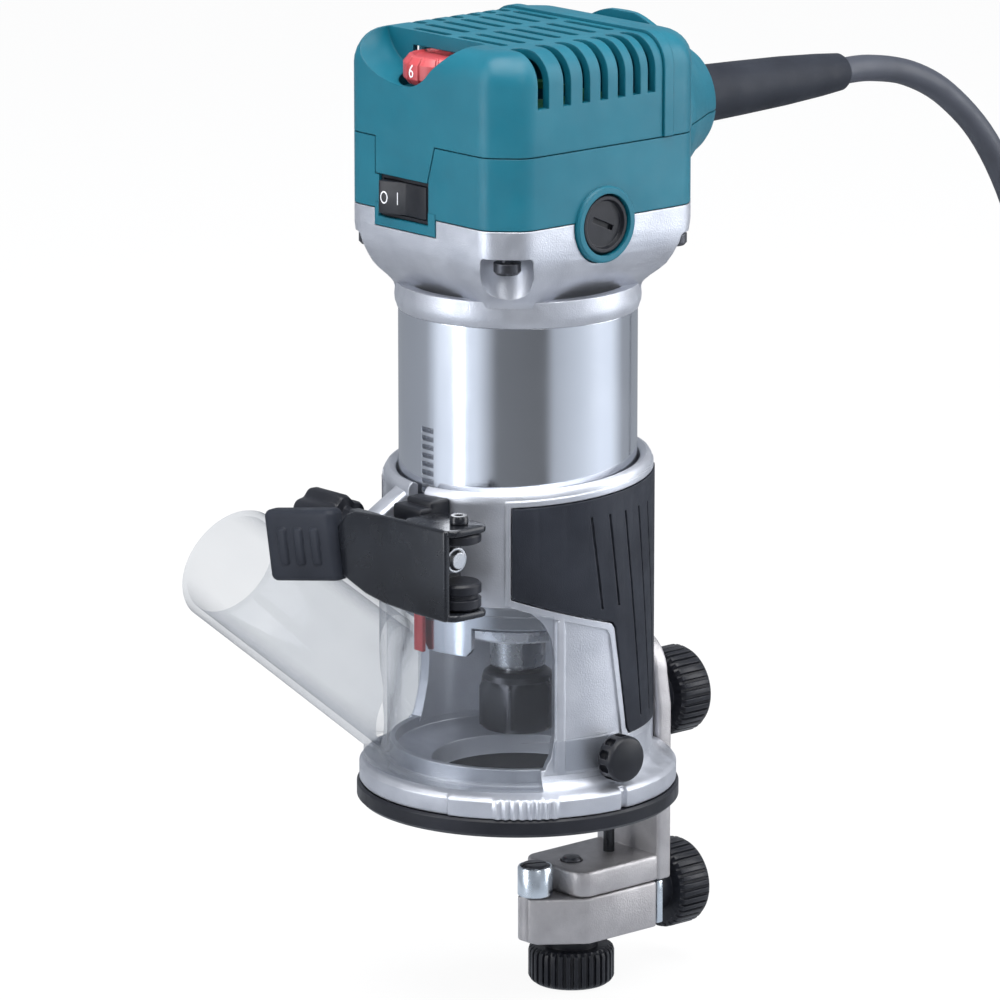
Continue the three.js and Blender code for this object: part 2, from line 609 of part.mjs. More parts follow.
function plug() {
  const x = COIL.x + 39.5;
  const y = COIL.y - 43;
  const z = CORD_FLOOR + 13.2;
  const body = rodY(8, y - 16, y, x, z, 20, 4.6).add(rodY(13, y - 46, y - 15.5, x, z, 24));
  const meshes = [part('plug_body', body, BLACK)];
  for (const side of [-1, 1]) {
    const pin = rodY(2.4, y - 65, y - 46.3, x, z + side * 7, 14);
    meshes.push(part(side > 0 ? 'plug_pin_a' : 'plug_pin_b', pin, BRASS));
  }
  return meshes;
}

// ---------- roller guide ----------
function guideBracket() {
  let body = span(-GUIDE_W, GUIDE_W, BRACKET_IN, BRACKET_OUT, BLOCK_LOW, 40);
  body = body.subtract(span(-20, 20, 35, 50, 33, 45))
    .add(rodY(GUIDE_W, BRACKET_IN, BRACKET_OUT, 0, 27, 40));
  body = body.add(prism(roundedPlan(-12.6, 12.6, 12.6, 42, 4), BLOCK_LOW, BLOCK_TOP, 5));
  body = body.add(rodZ(1.6, BLOCK_TOP - 1, -1, 0, PIN_Y, 14));
  const slot = span(-3.3, 3.3, 38, 50, 6, 31).add(rodY(3.3, 38, 50, 0, 31, 20))
    .add(rodY(3.3, 38, 50, 0, 6, 20));
  body = body.subtract(slot).subtract(rodZ(2.8, -40, -10, 0, LOCK_Y, 20));
  return part('guide_bracket', body, WARM_CAST);
}

function sliderBlock() {
  const plan = new THREE.Shape();
  plan.moveTo(-12.6, 40.7);
  plan.lineTo(-12.6, 15.5);
  plan.lineTo(-4.4, ROLLER_Y - 2);
  plan.absarc(0, ROLLER_Y, 4.8, Math.PI * 1.16, Math.PI * 1.84, false);
  plan.lineTo(12.6, 15.5);
  plan.lineTo(12.6, 40.7);
  plan.closePath();
  let body = prism(plan, SLIDER_LOW, SLIDER_TOP);
  const wedge = new THREE.BoxGeometry(40, 30, 8);
  wedge.rotateX(THREE.MathUtils.degToRad(-20));
  wedge.translate(0, 1, SLIDER_LOW - 2.4);
  body = body.subtract(solid(wedge));
  const slot = span(-3, 3, 17, 36, -50, -20).add(rodZ(3, -50, -20, 0, 17, 20));
  body = body.subtract(slot).subtract(rodY(3.2, 30, 50, 0, ADJUST_Z, 20))
    .subtract(rodZ(1.9, -36, -20, 0, ROLLER_Y, 16));
  return part('slider_block', body, WARM_CAST);
}

function rollerParts() {
  const roller = rodZ(4.9, SLIDER_TOP + GAP, -21.9, 0, ROLLER_Y, 32)
    .subtract(rodZ(2, -40, -15, 0, ROLLER_Y, 20))
    .subtract(rodZ(4.1, -23.6, -15, 0, ROLLER_Y, 28));
  const screw = rodZ(1.6, -35.7, -23, 0, ROLLER_Y, 16).add(rodZ(3.8, -23.3, -21.3, 0, ROLLER_Y, 24))
    .subtract(span(-0.5, 0.5, ROLLER_Y - 5, ROLLER_Y + 5, -22.3, -20));
  return [part('guide_roller', roller, ZINC), part('roller_screw', screw, STEEL)];
}

function guideKnob(name, z, tip) {
  let body = knob(KNOB_R, 51.5, 62.5, 20, 1).add(rodY(7.4, 47.6, 51.8, 0, 0, 28));
  body = body.add(rodY(2.7, tip, 48, 0, 0, 16));
  return part(name, body.translate([0, 0, z]), BLACK);
}

function guideWasher(name, y, z) {
  const body = rodY(6.4, y, y + 1.2, 0, z, 28).subtract(rodY(3, y - 1, y + 3, 0, z, 20));
  return part(name, body, ZINC);
}

function retainerPlate() {
  const body = span(-12.4, 12.4, 41.2, 43.4, -43, BLOCK_LOW - GAP)
    .subtract(rodY(3, 40, 50, 0, ADJUST_Z, 20));
  return part('screw_retainer', body, ZINC);
}

function lockKnob() {
  let body = rodZ(12, -57.8, -47.2, 0, 0, 36);
  for (let i = 0; i < 20; i += 1) {
    const t = (i * Math.PI) / 10;
    body = body.subtract(rodZ(1, -56.2, -46, 12 * Math.cos(t), 12 * Math.sin(t), 4));
  }
  body = body.add(rodZ(7.4, -47.4, -45.6, 0, 0, 28)).add(rodZ(2.4, -46, -21.6, 0, 0, 16));
  return part('slider_lock_knob', body.translate([0, LOCK_Y, 0]), BLACK);
}

function lockWasher() {
  const body = rodZ(6, -45.3, -44, 0, LOCK_Y, 28).subtract(rodZ(2.8, -50, -40, 0, LOCK_Y, 20));
  return part('lock_washer', body, ZINC);
}

// ---------- assembly ----------
const router = new THREE.Group();
router.name = 'trim_router';

const base = new THREE.Group();
base.name = 'base';
base.add(baseFrame(), soleRing(), grip('grip_right', 1), grip('grip_left', -1), dustNozzle(),
  nozzleThumbScrew());
base.add(depthPinion(), depthKnob(), lockLever(), leverSleeve(), leverPin(), clampCam(), lugCap());
base.add(...clampHardware());

const motor = new THREE.Group();
motor.name = 'motor_unit';
motor.add(motorHousing(), lowerHousing(), topCover(), rearCover(), speedDial(), controlBoard());
motor.add(switchBody(), switchRocker(), fieldCore(), coolingFan());
housingCorners().forEach((corner, i) => motor.add(housingScrew(i + 1, corner)));
for (const [tag, side] of [['right', 1], ['left', -1]]) {
  motor.add(brushCap(`brush_cap_${tag}`, side), brushHolder(`brush_holder_${tag}`, side));
  motor.add(carbonBrush(`carbon_brush_${tag}`, side));
}
motor.add(...rotor(), ...bearings(), ...colletParts());

const cord = new THREE.Group();
cord.name = 'cord';
cord.add(cordSleeve(), powerCord(), cordCoil(), ...plug());

const guide = new THREE.Group();
guide.name = 'roller_guide';
guide.add(guideBracket(), sliderBlock(), ...rollerParts(), retainerPlate(), lockKnob(), lockWasher());
guide.add(guideKnob('guide_clamp_knob', GUIDE_SCREW_Z, 34.5), guideKnob('guide_adjust_knob', ADJUST_Z,
  24.6));
guide.add(guideWasher('guide_washer', BRACKET_OUT + GAP, GUIDE_SCREW_Z));

router.add(base, motor, cord, guide);
export default router;
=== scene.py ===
"""Trim router on its trimmer base. Shapes are worked out in millimetres in the CAD frame
(+Z up along the bit axis, -Y front, origin at the middle of the sole) and scaled once to metres."""

import math

import bmesh
import bpy
from mathutils import Matrix, Vector


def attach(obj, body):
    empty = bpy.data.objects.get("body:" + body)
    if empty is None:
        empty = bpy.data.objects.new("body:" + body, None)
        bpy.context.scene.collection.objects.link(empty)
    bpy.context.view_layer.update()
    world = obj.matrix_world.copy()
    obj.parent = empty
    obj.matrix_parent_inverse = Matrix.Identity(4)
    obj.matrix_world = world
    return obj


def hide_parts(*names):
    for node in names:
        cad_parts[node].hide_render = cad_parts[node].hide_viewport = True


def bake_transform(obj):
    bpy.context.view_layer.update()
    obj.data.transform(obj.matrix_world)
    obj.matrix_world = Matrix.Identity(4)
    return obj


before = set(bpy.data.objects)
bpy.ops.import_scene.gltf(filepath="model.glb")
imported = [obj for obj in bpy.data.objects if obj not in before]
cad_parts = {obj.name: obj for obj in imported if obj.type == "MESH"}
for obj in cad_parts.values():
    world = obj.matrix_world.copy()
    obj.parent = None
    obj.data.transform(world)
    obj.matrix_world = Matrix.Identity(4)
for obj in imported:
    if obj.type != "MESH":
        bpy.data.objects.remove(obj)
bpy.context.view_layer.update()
MM = 0.001
SCENE = bpy.context.scene

# ---------- driving sizes, mm ----------
FLOOR_Z = -58.2
SOLE_R, SOLE_T = 44.3, 4.9
PLATE_R = 43.6
SHELL_R, SHELL_IN = 36.4, 33.3
RING_TOP, RING_SLOPE = 93.0, 0.07
REAR_FLAT = 40.4
WINDOW_TOP = 60.0
WINDOW_LEFT, WINDOW_RIGHT = -84.0, 64.5
BARREL_R, BARREL_BOTTOM = 32.5, 54.0
CASTING_TOP, SEAM_Z, HEAD_TOP = 166.3, 186.0, 213.3
HEAD_W, HEAD_F, HEAD_B, HEAD_CORNER = 34.7, -35.4, 38.8, 11.0
REAR_SEAM, SEAM_GAP = 21.0, 0.15
BRUSH_Z = 165.0
CORD_Z, CORD_R = 187.5, 3.75
DIAL_AT = (-4.5, -22.5)
SCOOP_FLOOR = 200.9
PINION_Y, PINION_Z, PINION_TEETH = -35.9, 77.0, 11
RACK_PITCH, RACK_TEETH = math.pi * 0.75, 23
CLAMP_Y, CLAMP_Z = -46.0, 79.0
LEVER_PIN = (26.8, -44.6)
LEVER_LOW, LEVER_TOP = 63.6, 88.6
GUIDE_SCREW_Z, ADJUST_Z, LOCK_Y, ROLLER_Y = 19.5, -36.5, 20.0, 6.5
THUMB_Z, PIN_Y = 19.0, 34.0
SOLE_SCREWS = (45, 135, 225, 315)


# ---------- mesh building ----------
def into_scene(name, data):
    obj = bpy.data.objects.new(name, data)
    SCENE.collection.objects.link(obj)
    return obj


def new_object(name, verts, faces):
    mesh = bpy.data.meshes.new(name)
    mesh.from_pydata([Vector(v) * MM for v in verts], [], faces)
    bm = bmesh.new()
    bm.from_mesh(mesh)
    bmesh.ops.remove_doubles(bm, verts=bm.verts, dist=1e-7)
    bmesh.ops.recalc_face_normals(bm, faces=bm.faces)
    bm.to_mesh(mesh)
    bm.free()
    return into_scene(name, mesh)


def loft(name, rings, caps=True):
    """Skins a stack of equal-length point rings and closes both ends."""
    count = len(rings[0])
    verts = [p for ring in rings for p in ring]
    faces = []
    for k in range(len(rings) - 1):
        a, b = k * count, (k + 1) * count
        for i in range(count):
            j = (i + 1) % count
            faces.append((a + i, a + j, b + j, b + i))
    if caps:
        faces.append(tuple(range(count))[::-1])
        faces.append(tuple(range(len(verts) - count, len(verts))))
    return new_object(name, verts, faces)


def turn(point, axis):
    """Takes a point drawn about +Z to the same place about another axis."""
    x, y, z = point
    return {"Z": (x, y, z), "X": (z, x, y), "Y": (y, z, x)}[axis]


def circle(r, h, axis, at, seg, shape):
    """A ring of points about an axis; shape(angle, radius) may press flutes or flats into it."""
    ring = []
    for i in range(seg):
        t = 2 * math.pi * i / seg
        q = shape(t, r) if shape else r
        p = turn((q * math.cos(t), q * math.sin(t), h), axis)
        ring.append((p[0] + at[0], p[1] + at[1], p[2] + at[2]))
    return ring


def turned(name, profile, axis="Z", at=(0, 0, 0), seg=96, shape=None):
    """A solid of revolution from a profile of (radius, height), closed at both ends."""
    return loft(name, [circle(max(r, 0.001), h, axis, at, seg, shape) for r, h in profile])


def tube(name, profile, axis="Z", at=(0, 0, 0), seg=96, shape=None):
    """A closed profile of (radius, height) swept round an axis, with a hole through the middle."""
    rings = [circle(r, h, axis, at, seg, shape) for r, h in profile + profile[:1]]
    return loft(name, rings, caps=False)


def prism(name, outline, lo, hi, axis="Z"):
    """An outline pulled along an axis; about Y its points are (z, x)."""
    return loft(name, [[turn((a, b, h), axis) for a, b in outline] for h in (lo, hi)])


def box(name, x0, x1, y0, y1, z0, z1):
    return prism(name, [(x0, y0), (x1, y0), (x1, y1), (x0, y1)], z0, z1)


def rod(name, r, lo, hi, axis="Z", at=(0, 0, 0), seg=48):
    return turned(name, [(r, lo), (r, hi)], axis, at, seg)


def arc(cx, cy, r, a0, a1, steps):
    """Points of an arc, in degrees."""
    span = [math.radians(a0 + (a1 - a0) * k / steps) for k in range(steps + 1)]
    return [(cx + r * math.cos(t), cy + r * math.sin(t)) for t in span]


def rounded_plan(x0, x1, y0, y1, r, steps=8):
    corners = ((x1 - r, y0 + r), (x1 - r, y1 - r), (x0 + r, y1 - r), (x0 + r, y0 + r))
    return [p for k, (x, y) in enumerate(corners) for p in arc(x, y, r, 90 * k - 90, 90 * k, steps)]


def sector(name, r0, r1, a0, a1, z0, z1, step=2.5):
    """A curved slab; azimuths are counted from the front (-Y) towards +X."""
    steps = max(2, int(abs(a1 - a0) / step))
    outline = arc(0, 0, r1, a0 - 90, a1 - 90, steps) + arc(0, 0, r0, a1 - 90, a0 - 90, steps)
    return prism(name, outline, z0, z1)


def wrap_slab(name, outline, r0, r1, step=2.0):
    """A flat outline of (azimuth, z) points bent round the Z axis between two radii."""
    bm = bmesh.new()
    bm.faces.new([bm.verts.new((a, z, 0)) for a, z in outline])
    low, high = min(a for a, _ in outline), max(a for a, _ in outline)
    cuts = int((high - low) / step)
    for k in range(1, cuts + 1):
        at = (low + (high - low) * k / (cuts + 1), 0, 0)
        everything = bm.verts[:] + bm.edges[:] + bm.faces[:]
        bmesh.ops.bisect_plane(bm, geom=everything, plane_co=at, plane_no=(1, 0, 0))
    grown = bmesh.ops.extrude_face_region(bm, geom=bm.faces[:])
    for v in grown["geom"]:
        if isinstance(v, bmesh.types.BMVert):
            v.co.z = 1
    for v in bm.verts:
        t = math.radians(v.co.x)
        r = r1 if v.co.z > 0.5 else r0
        v.co = Vector((r * math.sin(t), -r * math.cos(t), v.co.y)) * MM
    bmesh.ops.recalc_face_normals(bm, faces=bm.faces)
    mesh = bpy.data.meshes.new(name)
    bm.to_mesh(mesh)
    bm.free()
    return into_scene(name, mesh)


def bake(obj):
    """Applies the object's modifiers to its mesh."""
    graph = bpy.context.evaluated_depsgraph_get()
    mesh = bpy.data.meshes.new_from_object(obj.evaluated_get(graph))
    obj.modifiers.clear()
    old = obj.data
    obj.data = mesh
    bpy.data.meshes.remove(old)
    return obj


def boolean(obj, others, operation):
    for other in others:
        m = obj.modifiers.new("bool", "BOOLEAN")
        m.operation = operation
        m.solver = "EXACT"
        m.object = other
    bake(obj)
    for other in others:
        bpy.data.objects.remove(other)
    return obj


def carve(obj, *cutters):
    return boolean(obj, cutters, "DIFFERENCE")


def weld(obj, *others):
    return boolean(obj, others, "UNION")


def keep(obj, *others):
    return boolean(obj, others, "INTERSECT")


def soften(obj, width, segments=3, angle=32):
    """Rounds the edges sharper than angle."""
    m = obj.modifiers.new("bevel", "BEVEL")
    m.width = width * MM
    m.segments = segments
    m.limit_method = "ANGLE"
    m.angle_limit = math.radians(angle)
    m.use_clamp_overlap = True
    m.harden_normals = False
    return bake(obj)


def set_at(obj, at, *turns):
    """Turns a piece drawn about the origin by (degrees, axis) steps, last one first, and moves it."""
    matrix = Matrix.Translation(Vector(at) * MM)
    for degrees, axis in turns:
        matrix = matrix @ Matrix.Rotation(math.radians(degrees), 4, axis)
    obj.data.transform(matrix)
    return obj


def finish(obj, material, body, slot, *nodes, angle=34):
    """Shades, paints and hangs a piece on its CAD body."""
    obj.data.materials.clear()
    obj.data.materials.append(material)
    obj.data.shade_smooth()
    obj.data.set_sharp_from_angle(angle=math.radians(angle))
    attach(obj, body)
    if nodes:
        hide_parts(*nodes)
    return obj


# ---------- materials ----------
def feed(tree, node, inputs):
    """Sets a node's inputs to values, or links them where another node's socket is given."""
    for key, value in inputs.items():
        if isinstance(value, bpy.types.NodeSocket):
            tree.links.new(value, node.inputs[key])
        else:
            node.inputs[key].default_value = value


def add(tree, kind, inputs=None, **settings):
    node = tree.nodes.new("ShaderNode" + kind)
    for key, value in settings.items():
        setattr(node, key, value)
    feed(tree, node, inputs or {})
    return node


def blank_material(name):
    material = bpy.data.materials.new(name)
    material.use_nodes = True
    tree = material.node_tree
    return material, tree, tree.nodes["Principled BSDF"]


def noise(tree, coords, scale, detail=3, stretch=(1, 1, 1)):
    mapping = add(tree, "Mapping", {"Scale": stretch, "Vector": coords})
    values = {"Scale": scale, "Detail": detail, "Vector": mapping.outputs["Vector"]}
    return add(tree, "TexNoise", values).outputs["Fac"]


def ramp(tree, fac, stops):
    node = add(tree, "ValToRGB", {"Fac": fac})
    elements = node.color_ramp.elements
    while len(elements) < len(stops):
        elements.new(0.5)
    for element, (position, color) in zip(elements, stops):
        element.position = position
        element.color = (*color, 1)
    return node.outputs["Color"]


def remap(tree, value, lo, hi, out_lo, out_hi):
    ends = {"From Min": lo, "From Max": hi, "To Min": out_lo, "To Max": out_hi, "Value": value}
    return add(tree, "MapRange", ends).outputs["Result"]


def multiply(tree, a, b):
    return add(tree, "Math", {0: a, 1: b}, operation="MULTIPLY").outputs["Value"]


def blend_colors(tree, share, a, b):
    return add(tree, "Mix", {"Factor": share, "A": a, "B": b}, data_type="RGBA").outputs["Result"]


def blend_shaders(tree, share, a, b):
    return add(tree, "MixShader", {"Fac": share, 1: a, 2: b}).outputs["Shader"]


def edge_mask(tree, rounded):
    """1 on convex edges, from how far the rounded normal leans off the true one."""
    true_normal = add(tree, "NewGeometry").outputs["Normal"]
    lean = add(tree, "VectorMath", {0: rounded, 1: true_normal}, operation="DOT_PRODUCT")
    return remap(tree, lean.outputs["Value"], 0.995, 0.86, 0, 1)


def surface(name, low, high, rough, metallic=0.0, grain=2600, bump=0.12, mottle=60, edge=None,
            round_mm=0.35, stretch=(1, 1, 1), coat=0.0, anisotropic=0.0, spread=0.08, specular=0.5):
    """A procedural finish: mottled colour, uneven sheen, fine grain and worn, slightly rounded edges."""
    material, tree, shader = blank_material(name)
    coords = add(tree, "TexCoord").outputs["Object"]
    rounded = add(tree, "Bevel", {"Radius": round_mm * MM}, samples=4).outputs["Normal"]
    color = ramp(tree, noise(tree, coords, mottle), [(0.3, low), (0.7, high)])
    if edge:
        patchy = remap(tree, noise(tree, coords, 420), 0.42, 0.62, 0.15, 0.75)
        color = blend_colors(tree, multiply(tree, edge_mask(tree, rounded), patchy), color, (*edge, 1))
    height = noise(tree, coords, grain, 2, stretch)
    relief = add(tree, "Bump", {"Strength": bump, "Distance": 0.0002, "Height": height, "Normal": rounded})
    feed(tree, shader, {
        "Base Color": color,
        "Roughness": remap(tree, noise(tree, coords, mottle * 3), 0.3, 0.7, rough - spread, rough + spread),
        "Metallic": metallic,
        "Coat Weight": coat,
        "Specular IOR Level": specular,
        "Normal": relief.outputs["Normal"],
    })
    if anisotropic:
        tangent = add(tree, "Tangent", direction_type="RADIAL", axis="Z").outputs["Tangent"]
        feed(tree, shader, {"Tangent": tangent, "Anisotropic": anisotropic})
    return material


def clear_plastic(name):
    """Clear moulded polycarbonate: open when faced, grey and glinting at its rims."""
    material, tree, shader = blank_material(name)
    coords = add(tree, "TexCoord").outputs["Object"]
    relief = add(tree, "Bump", {"Strength": 0.06, "Distance": 0.0006, "Height": noise(tree, coords, 45)})
    waves = relief.outputs["Normal"]
    body = ramp(tree, noise(tree, coords, 30), [(0.3, (0.46, 0.48, 0.52)), (0.7, (0.56, 0.58, 0.62))])
    feed(tree, shader, {
        "Base Color": body,
        "Roughness": remap(tree, noise(tree, coords, 90), 0.3, 0.7, 0.03, 0.09),
        "Normal": waves,
    })
    tint = ramp(tree, noise(tree, coords, 25), [(0.3, (0.875, 0.885, 0.900)), (0.7, (0.915, 0.923, 0.932))])
    glass = add(tree, "BsdfTransparent", {"Color": tint}).outputs["BSDF"]
    gloss = add(tree, "BsdfGlossy", {"Roughness": 0.05, "Normal": waves}).outputs["BSDF"]
    rim = add(tree, "LayerWeight", {"Blend": 0.32, "Normal": waves})
    glint = remap(tree, rim.outputs["Fresnel"], 0, 1, 0.55, 1.0)
    shine = blend_shaders(tree, glint, shader.outputs["BSDF"], gloss)
    share = remap(tree, rim.outputs["Facing"], 0.30, 1.0, 0.035, 0.78)
    feed(tree, tree.nodes["Material Output"], {"Surface": blend_shaders(tree, share, glass, shine)})
    return material


TEAL = surface("teal_plastic", (0.003, 0.092, 0.135), (0.005, 0.108, 0.155), 0.42, grain=3200, bump=0.16,
               round_mm=0.5, specular=0.30)
CASTING = surface("cast_alloy", (0.45, 0.47, 0.52), (0.54, 0.56, 0.61), 0.40, 0.80, grain=2400, bump=0.40,
                  mottle=90, edge=(0.8, 0.81, 0.84), round_mm=0.5)
TURNED = surface("turned_alloy", (0.62, 0.64, 0.68), (0.68, 0.70, 0.74), 0.14, 1.0, grain=900, bump=0.03,
                 mottle=25, stretch=(0.05, 0.05, 6), anisotropic=0.35, spread=0.03)
WARM = surface("warm_cast_alloy", (0.36, 0.35, 0.36), (0.45, 0.44, 0.45), 0.42, 0.75, grain=2000, bump=0.5,
               mottle=140, edge=(0.62, 0.61, 0.61), round_mm=0.6)
ZINC = surface("zinc_plate", (0.62, 0.69, 0.75), (0.72, 0.78, 0.84), 0.24, 1.0, grain=1400, bump=0.02,
               stretch=(0.1, 0.1, 5))
STEEL = surface("machined_steel", (0.46, 0.47, 0.49), (0.56, 0.57, 0.59), 0.27, 1.0, grain=1600, bump=0.06,
                mottle=70, stretch=(0.2, 0.2, 4))
BLACK = surface("black_plastic", (0.007, 0.008, 0.011), (0.012, 0.013, 0.018), 0.36, bump=0.14,
                edge=(0.05, 0.052, 0.062), specular=0.28)
RUBBER = surface("black_rubber", (0.012, 0.014, 0.020), (0.019, 0.022, 0.030), 0.50, grain=3400, bump=0.3,
                 edge=(0.05, 0.054, 0.066), round_mm=0.5, specular=0.15)
CORD = surface("cord_jacket", (0.030, 0.034, 0.046), (0.040, 0.045, 0.060), 0.48, grain=3400, bump=0.2,
               specular=0.4)
BLACK_STEEL = surface("blackened_steel", (0.008, 0.009, 0.012), (0.014, 0.016, 0.021), 0.24, 0.30, grain=1800,
                      bump=0.08, edge=(0.16, 0.165, 0.18), round_mm=0.4, coat=0.2, specular=0.4)
FLANGE = surface("ground_steel", (0.74, 0.76, 0.80), (0.82, 0.84, 0.88), 0.30, 0.75, grain=1500, bump=0.05,
                 mottle=50)
OXIDE = surface("oxide_steel", (0.05, 0.052, 0.06), (0.085, 0.088, 0.10), 0.34, 0.8, grain=1500,
                edge=(0.25, 0.26, 0.28))
CORAL = surface("coral_plastic", (0.36, 0.045, 0.052), (0.42, 0.058, 0.066), 0.38, grain=2400, bump=0.1,
                round_mm=0.3)
WHITE_INK = surface("white_ink", (0.62, 0.63, 0.66), (0.70, 0.71, 0.74), 0.5, grain=4000, bump=0.05,
                    round_mm=0.05)
COPPER = surface("copper", (0.50, 0.22, 0.10), (0.62, 0.29, 0.15), 0.32, 1.0, grain=1500, bump=0.1)
CARBON = surface("carbon", (0.02, 0.02, 0.02), (0.035, 0.035, 0.035), 0.7, bump=0.3)
BOARD = surface("circuit_board", (0.01, 0.08, 0.03), (0.015, 0.11, 0.05), 0.4, grain=900, bump=0.2)
BRASS = surface("brass", (0.52, 0.38, 0.14), (0.62, 0.47, 0.20), 0.28, 1.0, grain=1700, bump=0.07)
CLEAR = clear_plastic("clear_plastic")


# ---------- head ----------
def head_plan(w, y0, y1, r, steps=9):
    """A rectangle with flat, softly rounded facets across its corners."""
    plan = []
    for k, (x, y) in enumerate(rounded_plan(-w, w, y0, y1, r, steps)):
        corner = k // (steps + 1)
        sx, sy = ((1, -1), (1, 1), (-1, 1), (-1, -1))[corner]
        cx, cy = sx * w, (y1 if sy > 0 else y0)
        along = ((abs(cx - x) - abs(cy - y)) / r + 1) / 2
        leg = 0.74 * r
        fx, fy = cx - sx * leg * along, cy - sy * leg * (1 - along)
        share = 0.85 * min(1, 3.2 * min(along, 1 - along))
        plan.append((x + (fx - x) * share, y + (fy - y) * share))
    return plan


def head_solid(name, z0, z1, edge_r, grow=0.0):
    """The head's plan from z0 to z1, its top edge rolled over with radius edge_r."""
    levels = [(z0, 0.0)]
    for k in range(9):
        t = math.radians(90 * k / 8)
        levels.append((z1 - edge_r + edge_r * math.sin(t), edge_r * (1 - math.cos(t))))
    rings = []
    for z, inset in levels:
        r = max(HEAD_CORNER + grow - inset * 0.72, 2.5)
        plan = head_plan(HEAD_W + grow - inset, HEAD_F - grow + inset, HEAD_B + grow - inset, r)
        rings.append([(x, y, z) for x, y in plan])
    return loft(name, rings)


def hollow_head(name, y0, y1):
    shell = head_solid(name, SEAM_Z + SEAM_GAP, HEAD_TOP, 8.5)
    inner = head_solid("inner", SEAM_Z - 2, HEAD_TOP - 2.4, 6, grow=-2.5)
    return keep(carve(shell, inner), box("clip", -60, 60, y0, y1, 150, 250))


# (y, width) of the vents along each side; the first one is on the right only
SIDE_SLOTS = [(-21.8, 4.0)] + [(y, 2.7) for y in (-13.4, -6.6, -0.2, 6.0, 11.5, 16.8)]

# the dial's hollow seen from the front, as (z, x): two arcs and a slope
QUARTER = [k * math.pi / 24 for k in range(13)]
SCOOP = [(z, x) for x, z in (
    [(-27, 222)] + [(-6.5 - 20.5 * math.cos(t), 214 - 13.1 * math.sin(t)) for t in QUARTER]
    + [(-6 + 13 * math.sin(t), SCOOP_FLOOR + 13 * (1 - math.cos(t))) for t in QUARTER[1:8]]
    + [(9.8, 211.0), (12.2, 212.9), (16, 215), (22, 222)]
)]


def vent(name, x0, x1, y, width, z0, z1):
    half = width / 2
    outline = arc(x1 - half, y, half, -90, 90, 8) + arc(x0 + half, y, half, 90, 270, 8)
    return prism(name, outline, z0, z1)


def top_cover():
    cover = hollow_head("top_cover_shell", -60, REAR_SEAM - SEAM_GAP)
    outline = [(176.0, -17.6), (176.0, 3.4), (SEAM_Z + 1, 6.6), (SEAM_Z + 1, -17.6)]
    tongue = prism("tongue", outline, HEAD_F, HEAD_F + 2.4, "Y")
    block = box("scoop_block", -30, 16.5, HEAD_F + 1.5, -20.6, 197, HEAD_TOP - 0.8)
    keep(block, head_solid("block_limit", 190, HEAD_TOP - 0.3, 8.5, grow=-0.3))
    weld(cover, tongue, block)
    cutters = []
    for i, (y, width) in enumerate(SIDE_SLOTS):
        cutters.append(vent(f"slot_{i}_right", 22.6, 48, y, width, 198.6, 222))
        if i > 0:
            cutters.append(vent(f"slot_{i}_left", -48, -22.6, y, width, 198.6, 222))
    for i in range(7):
        y = -20.2 + i * 6.3
        for x0, x1 in ((-21.5 if i else -19, -4.4), (-0.9, 18.2)):
            cutters.append(vent(f"grille_{i}_{x0}", x0, x1, y, 2.5, HEAD_TOP - 6, HEAD_TOP + 3))
    scoop = prism("scoop", SCOOP, -60, -22.9, "Y")
    well = rod("well", 12.1, 199.0, 209.4, "Z", (*DIAL_AT, 0))
    carve(cover, scoop, well, *cutters)
    finish(cover, TEAL, "motor", "teal", "top_cover")


def rear_cover():
    cover = hollow_head("rear_cover_shell", REAR_SEAM + SEAM_GAP, 60)
    lip = head_solid("lip", SEAM_Z + SEAM_GAP, HEAD_TOP + 0.7, 8.8, grow=0.6)
    keep(lip, box("lip_band", -60, 60, REAR_SEAM + SEAM_GAP, REAR_SEAM + 3.4, 150, 250))
    carve(lip, head_solid("lip_in", SEAM_Z - 2, HEAD_TOP - 1, 7, grow=-1.2))
    flare = [(27, 38.8), (24, 43.5), (20.5, 49), (17.2, 54), (15.6, 57.6), (14.4, 59.4), (12, 60.3)]
    centre = (0, 0, CORD_Z)
    boss = turned("boss", [(27, HEAD_B - 3)] + flare, "Y", centre)
    keep(boss, box("boss_limit", -30, 30, HEAD_B - 1.5, 70, CASTING_TOP + 0.5, 214))
    seam = turned("seam", [(r + 2, y) for r, y in flare], "Y", centre)
    root = [(26.3, 36)] + [(r - 0.7, y) for r, y in flare] + [(11.3, 64)]
    carve(seam, turned("seam_root", root, "Y", centre))
    keep(seam, box("seam_slab", -40, 40, 38, 62, SEAM_Z - 0.2, SEAM_Z + 0.2))
    weld(cover, lip, boss)
    carve(cover, seam, rod("mouth", 8.9, 20, 70, "Y", centre))
    finish(cover, TEAL, "motor", "teal", "rear_cover")


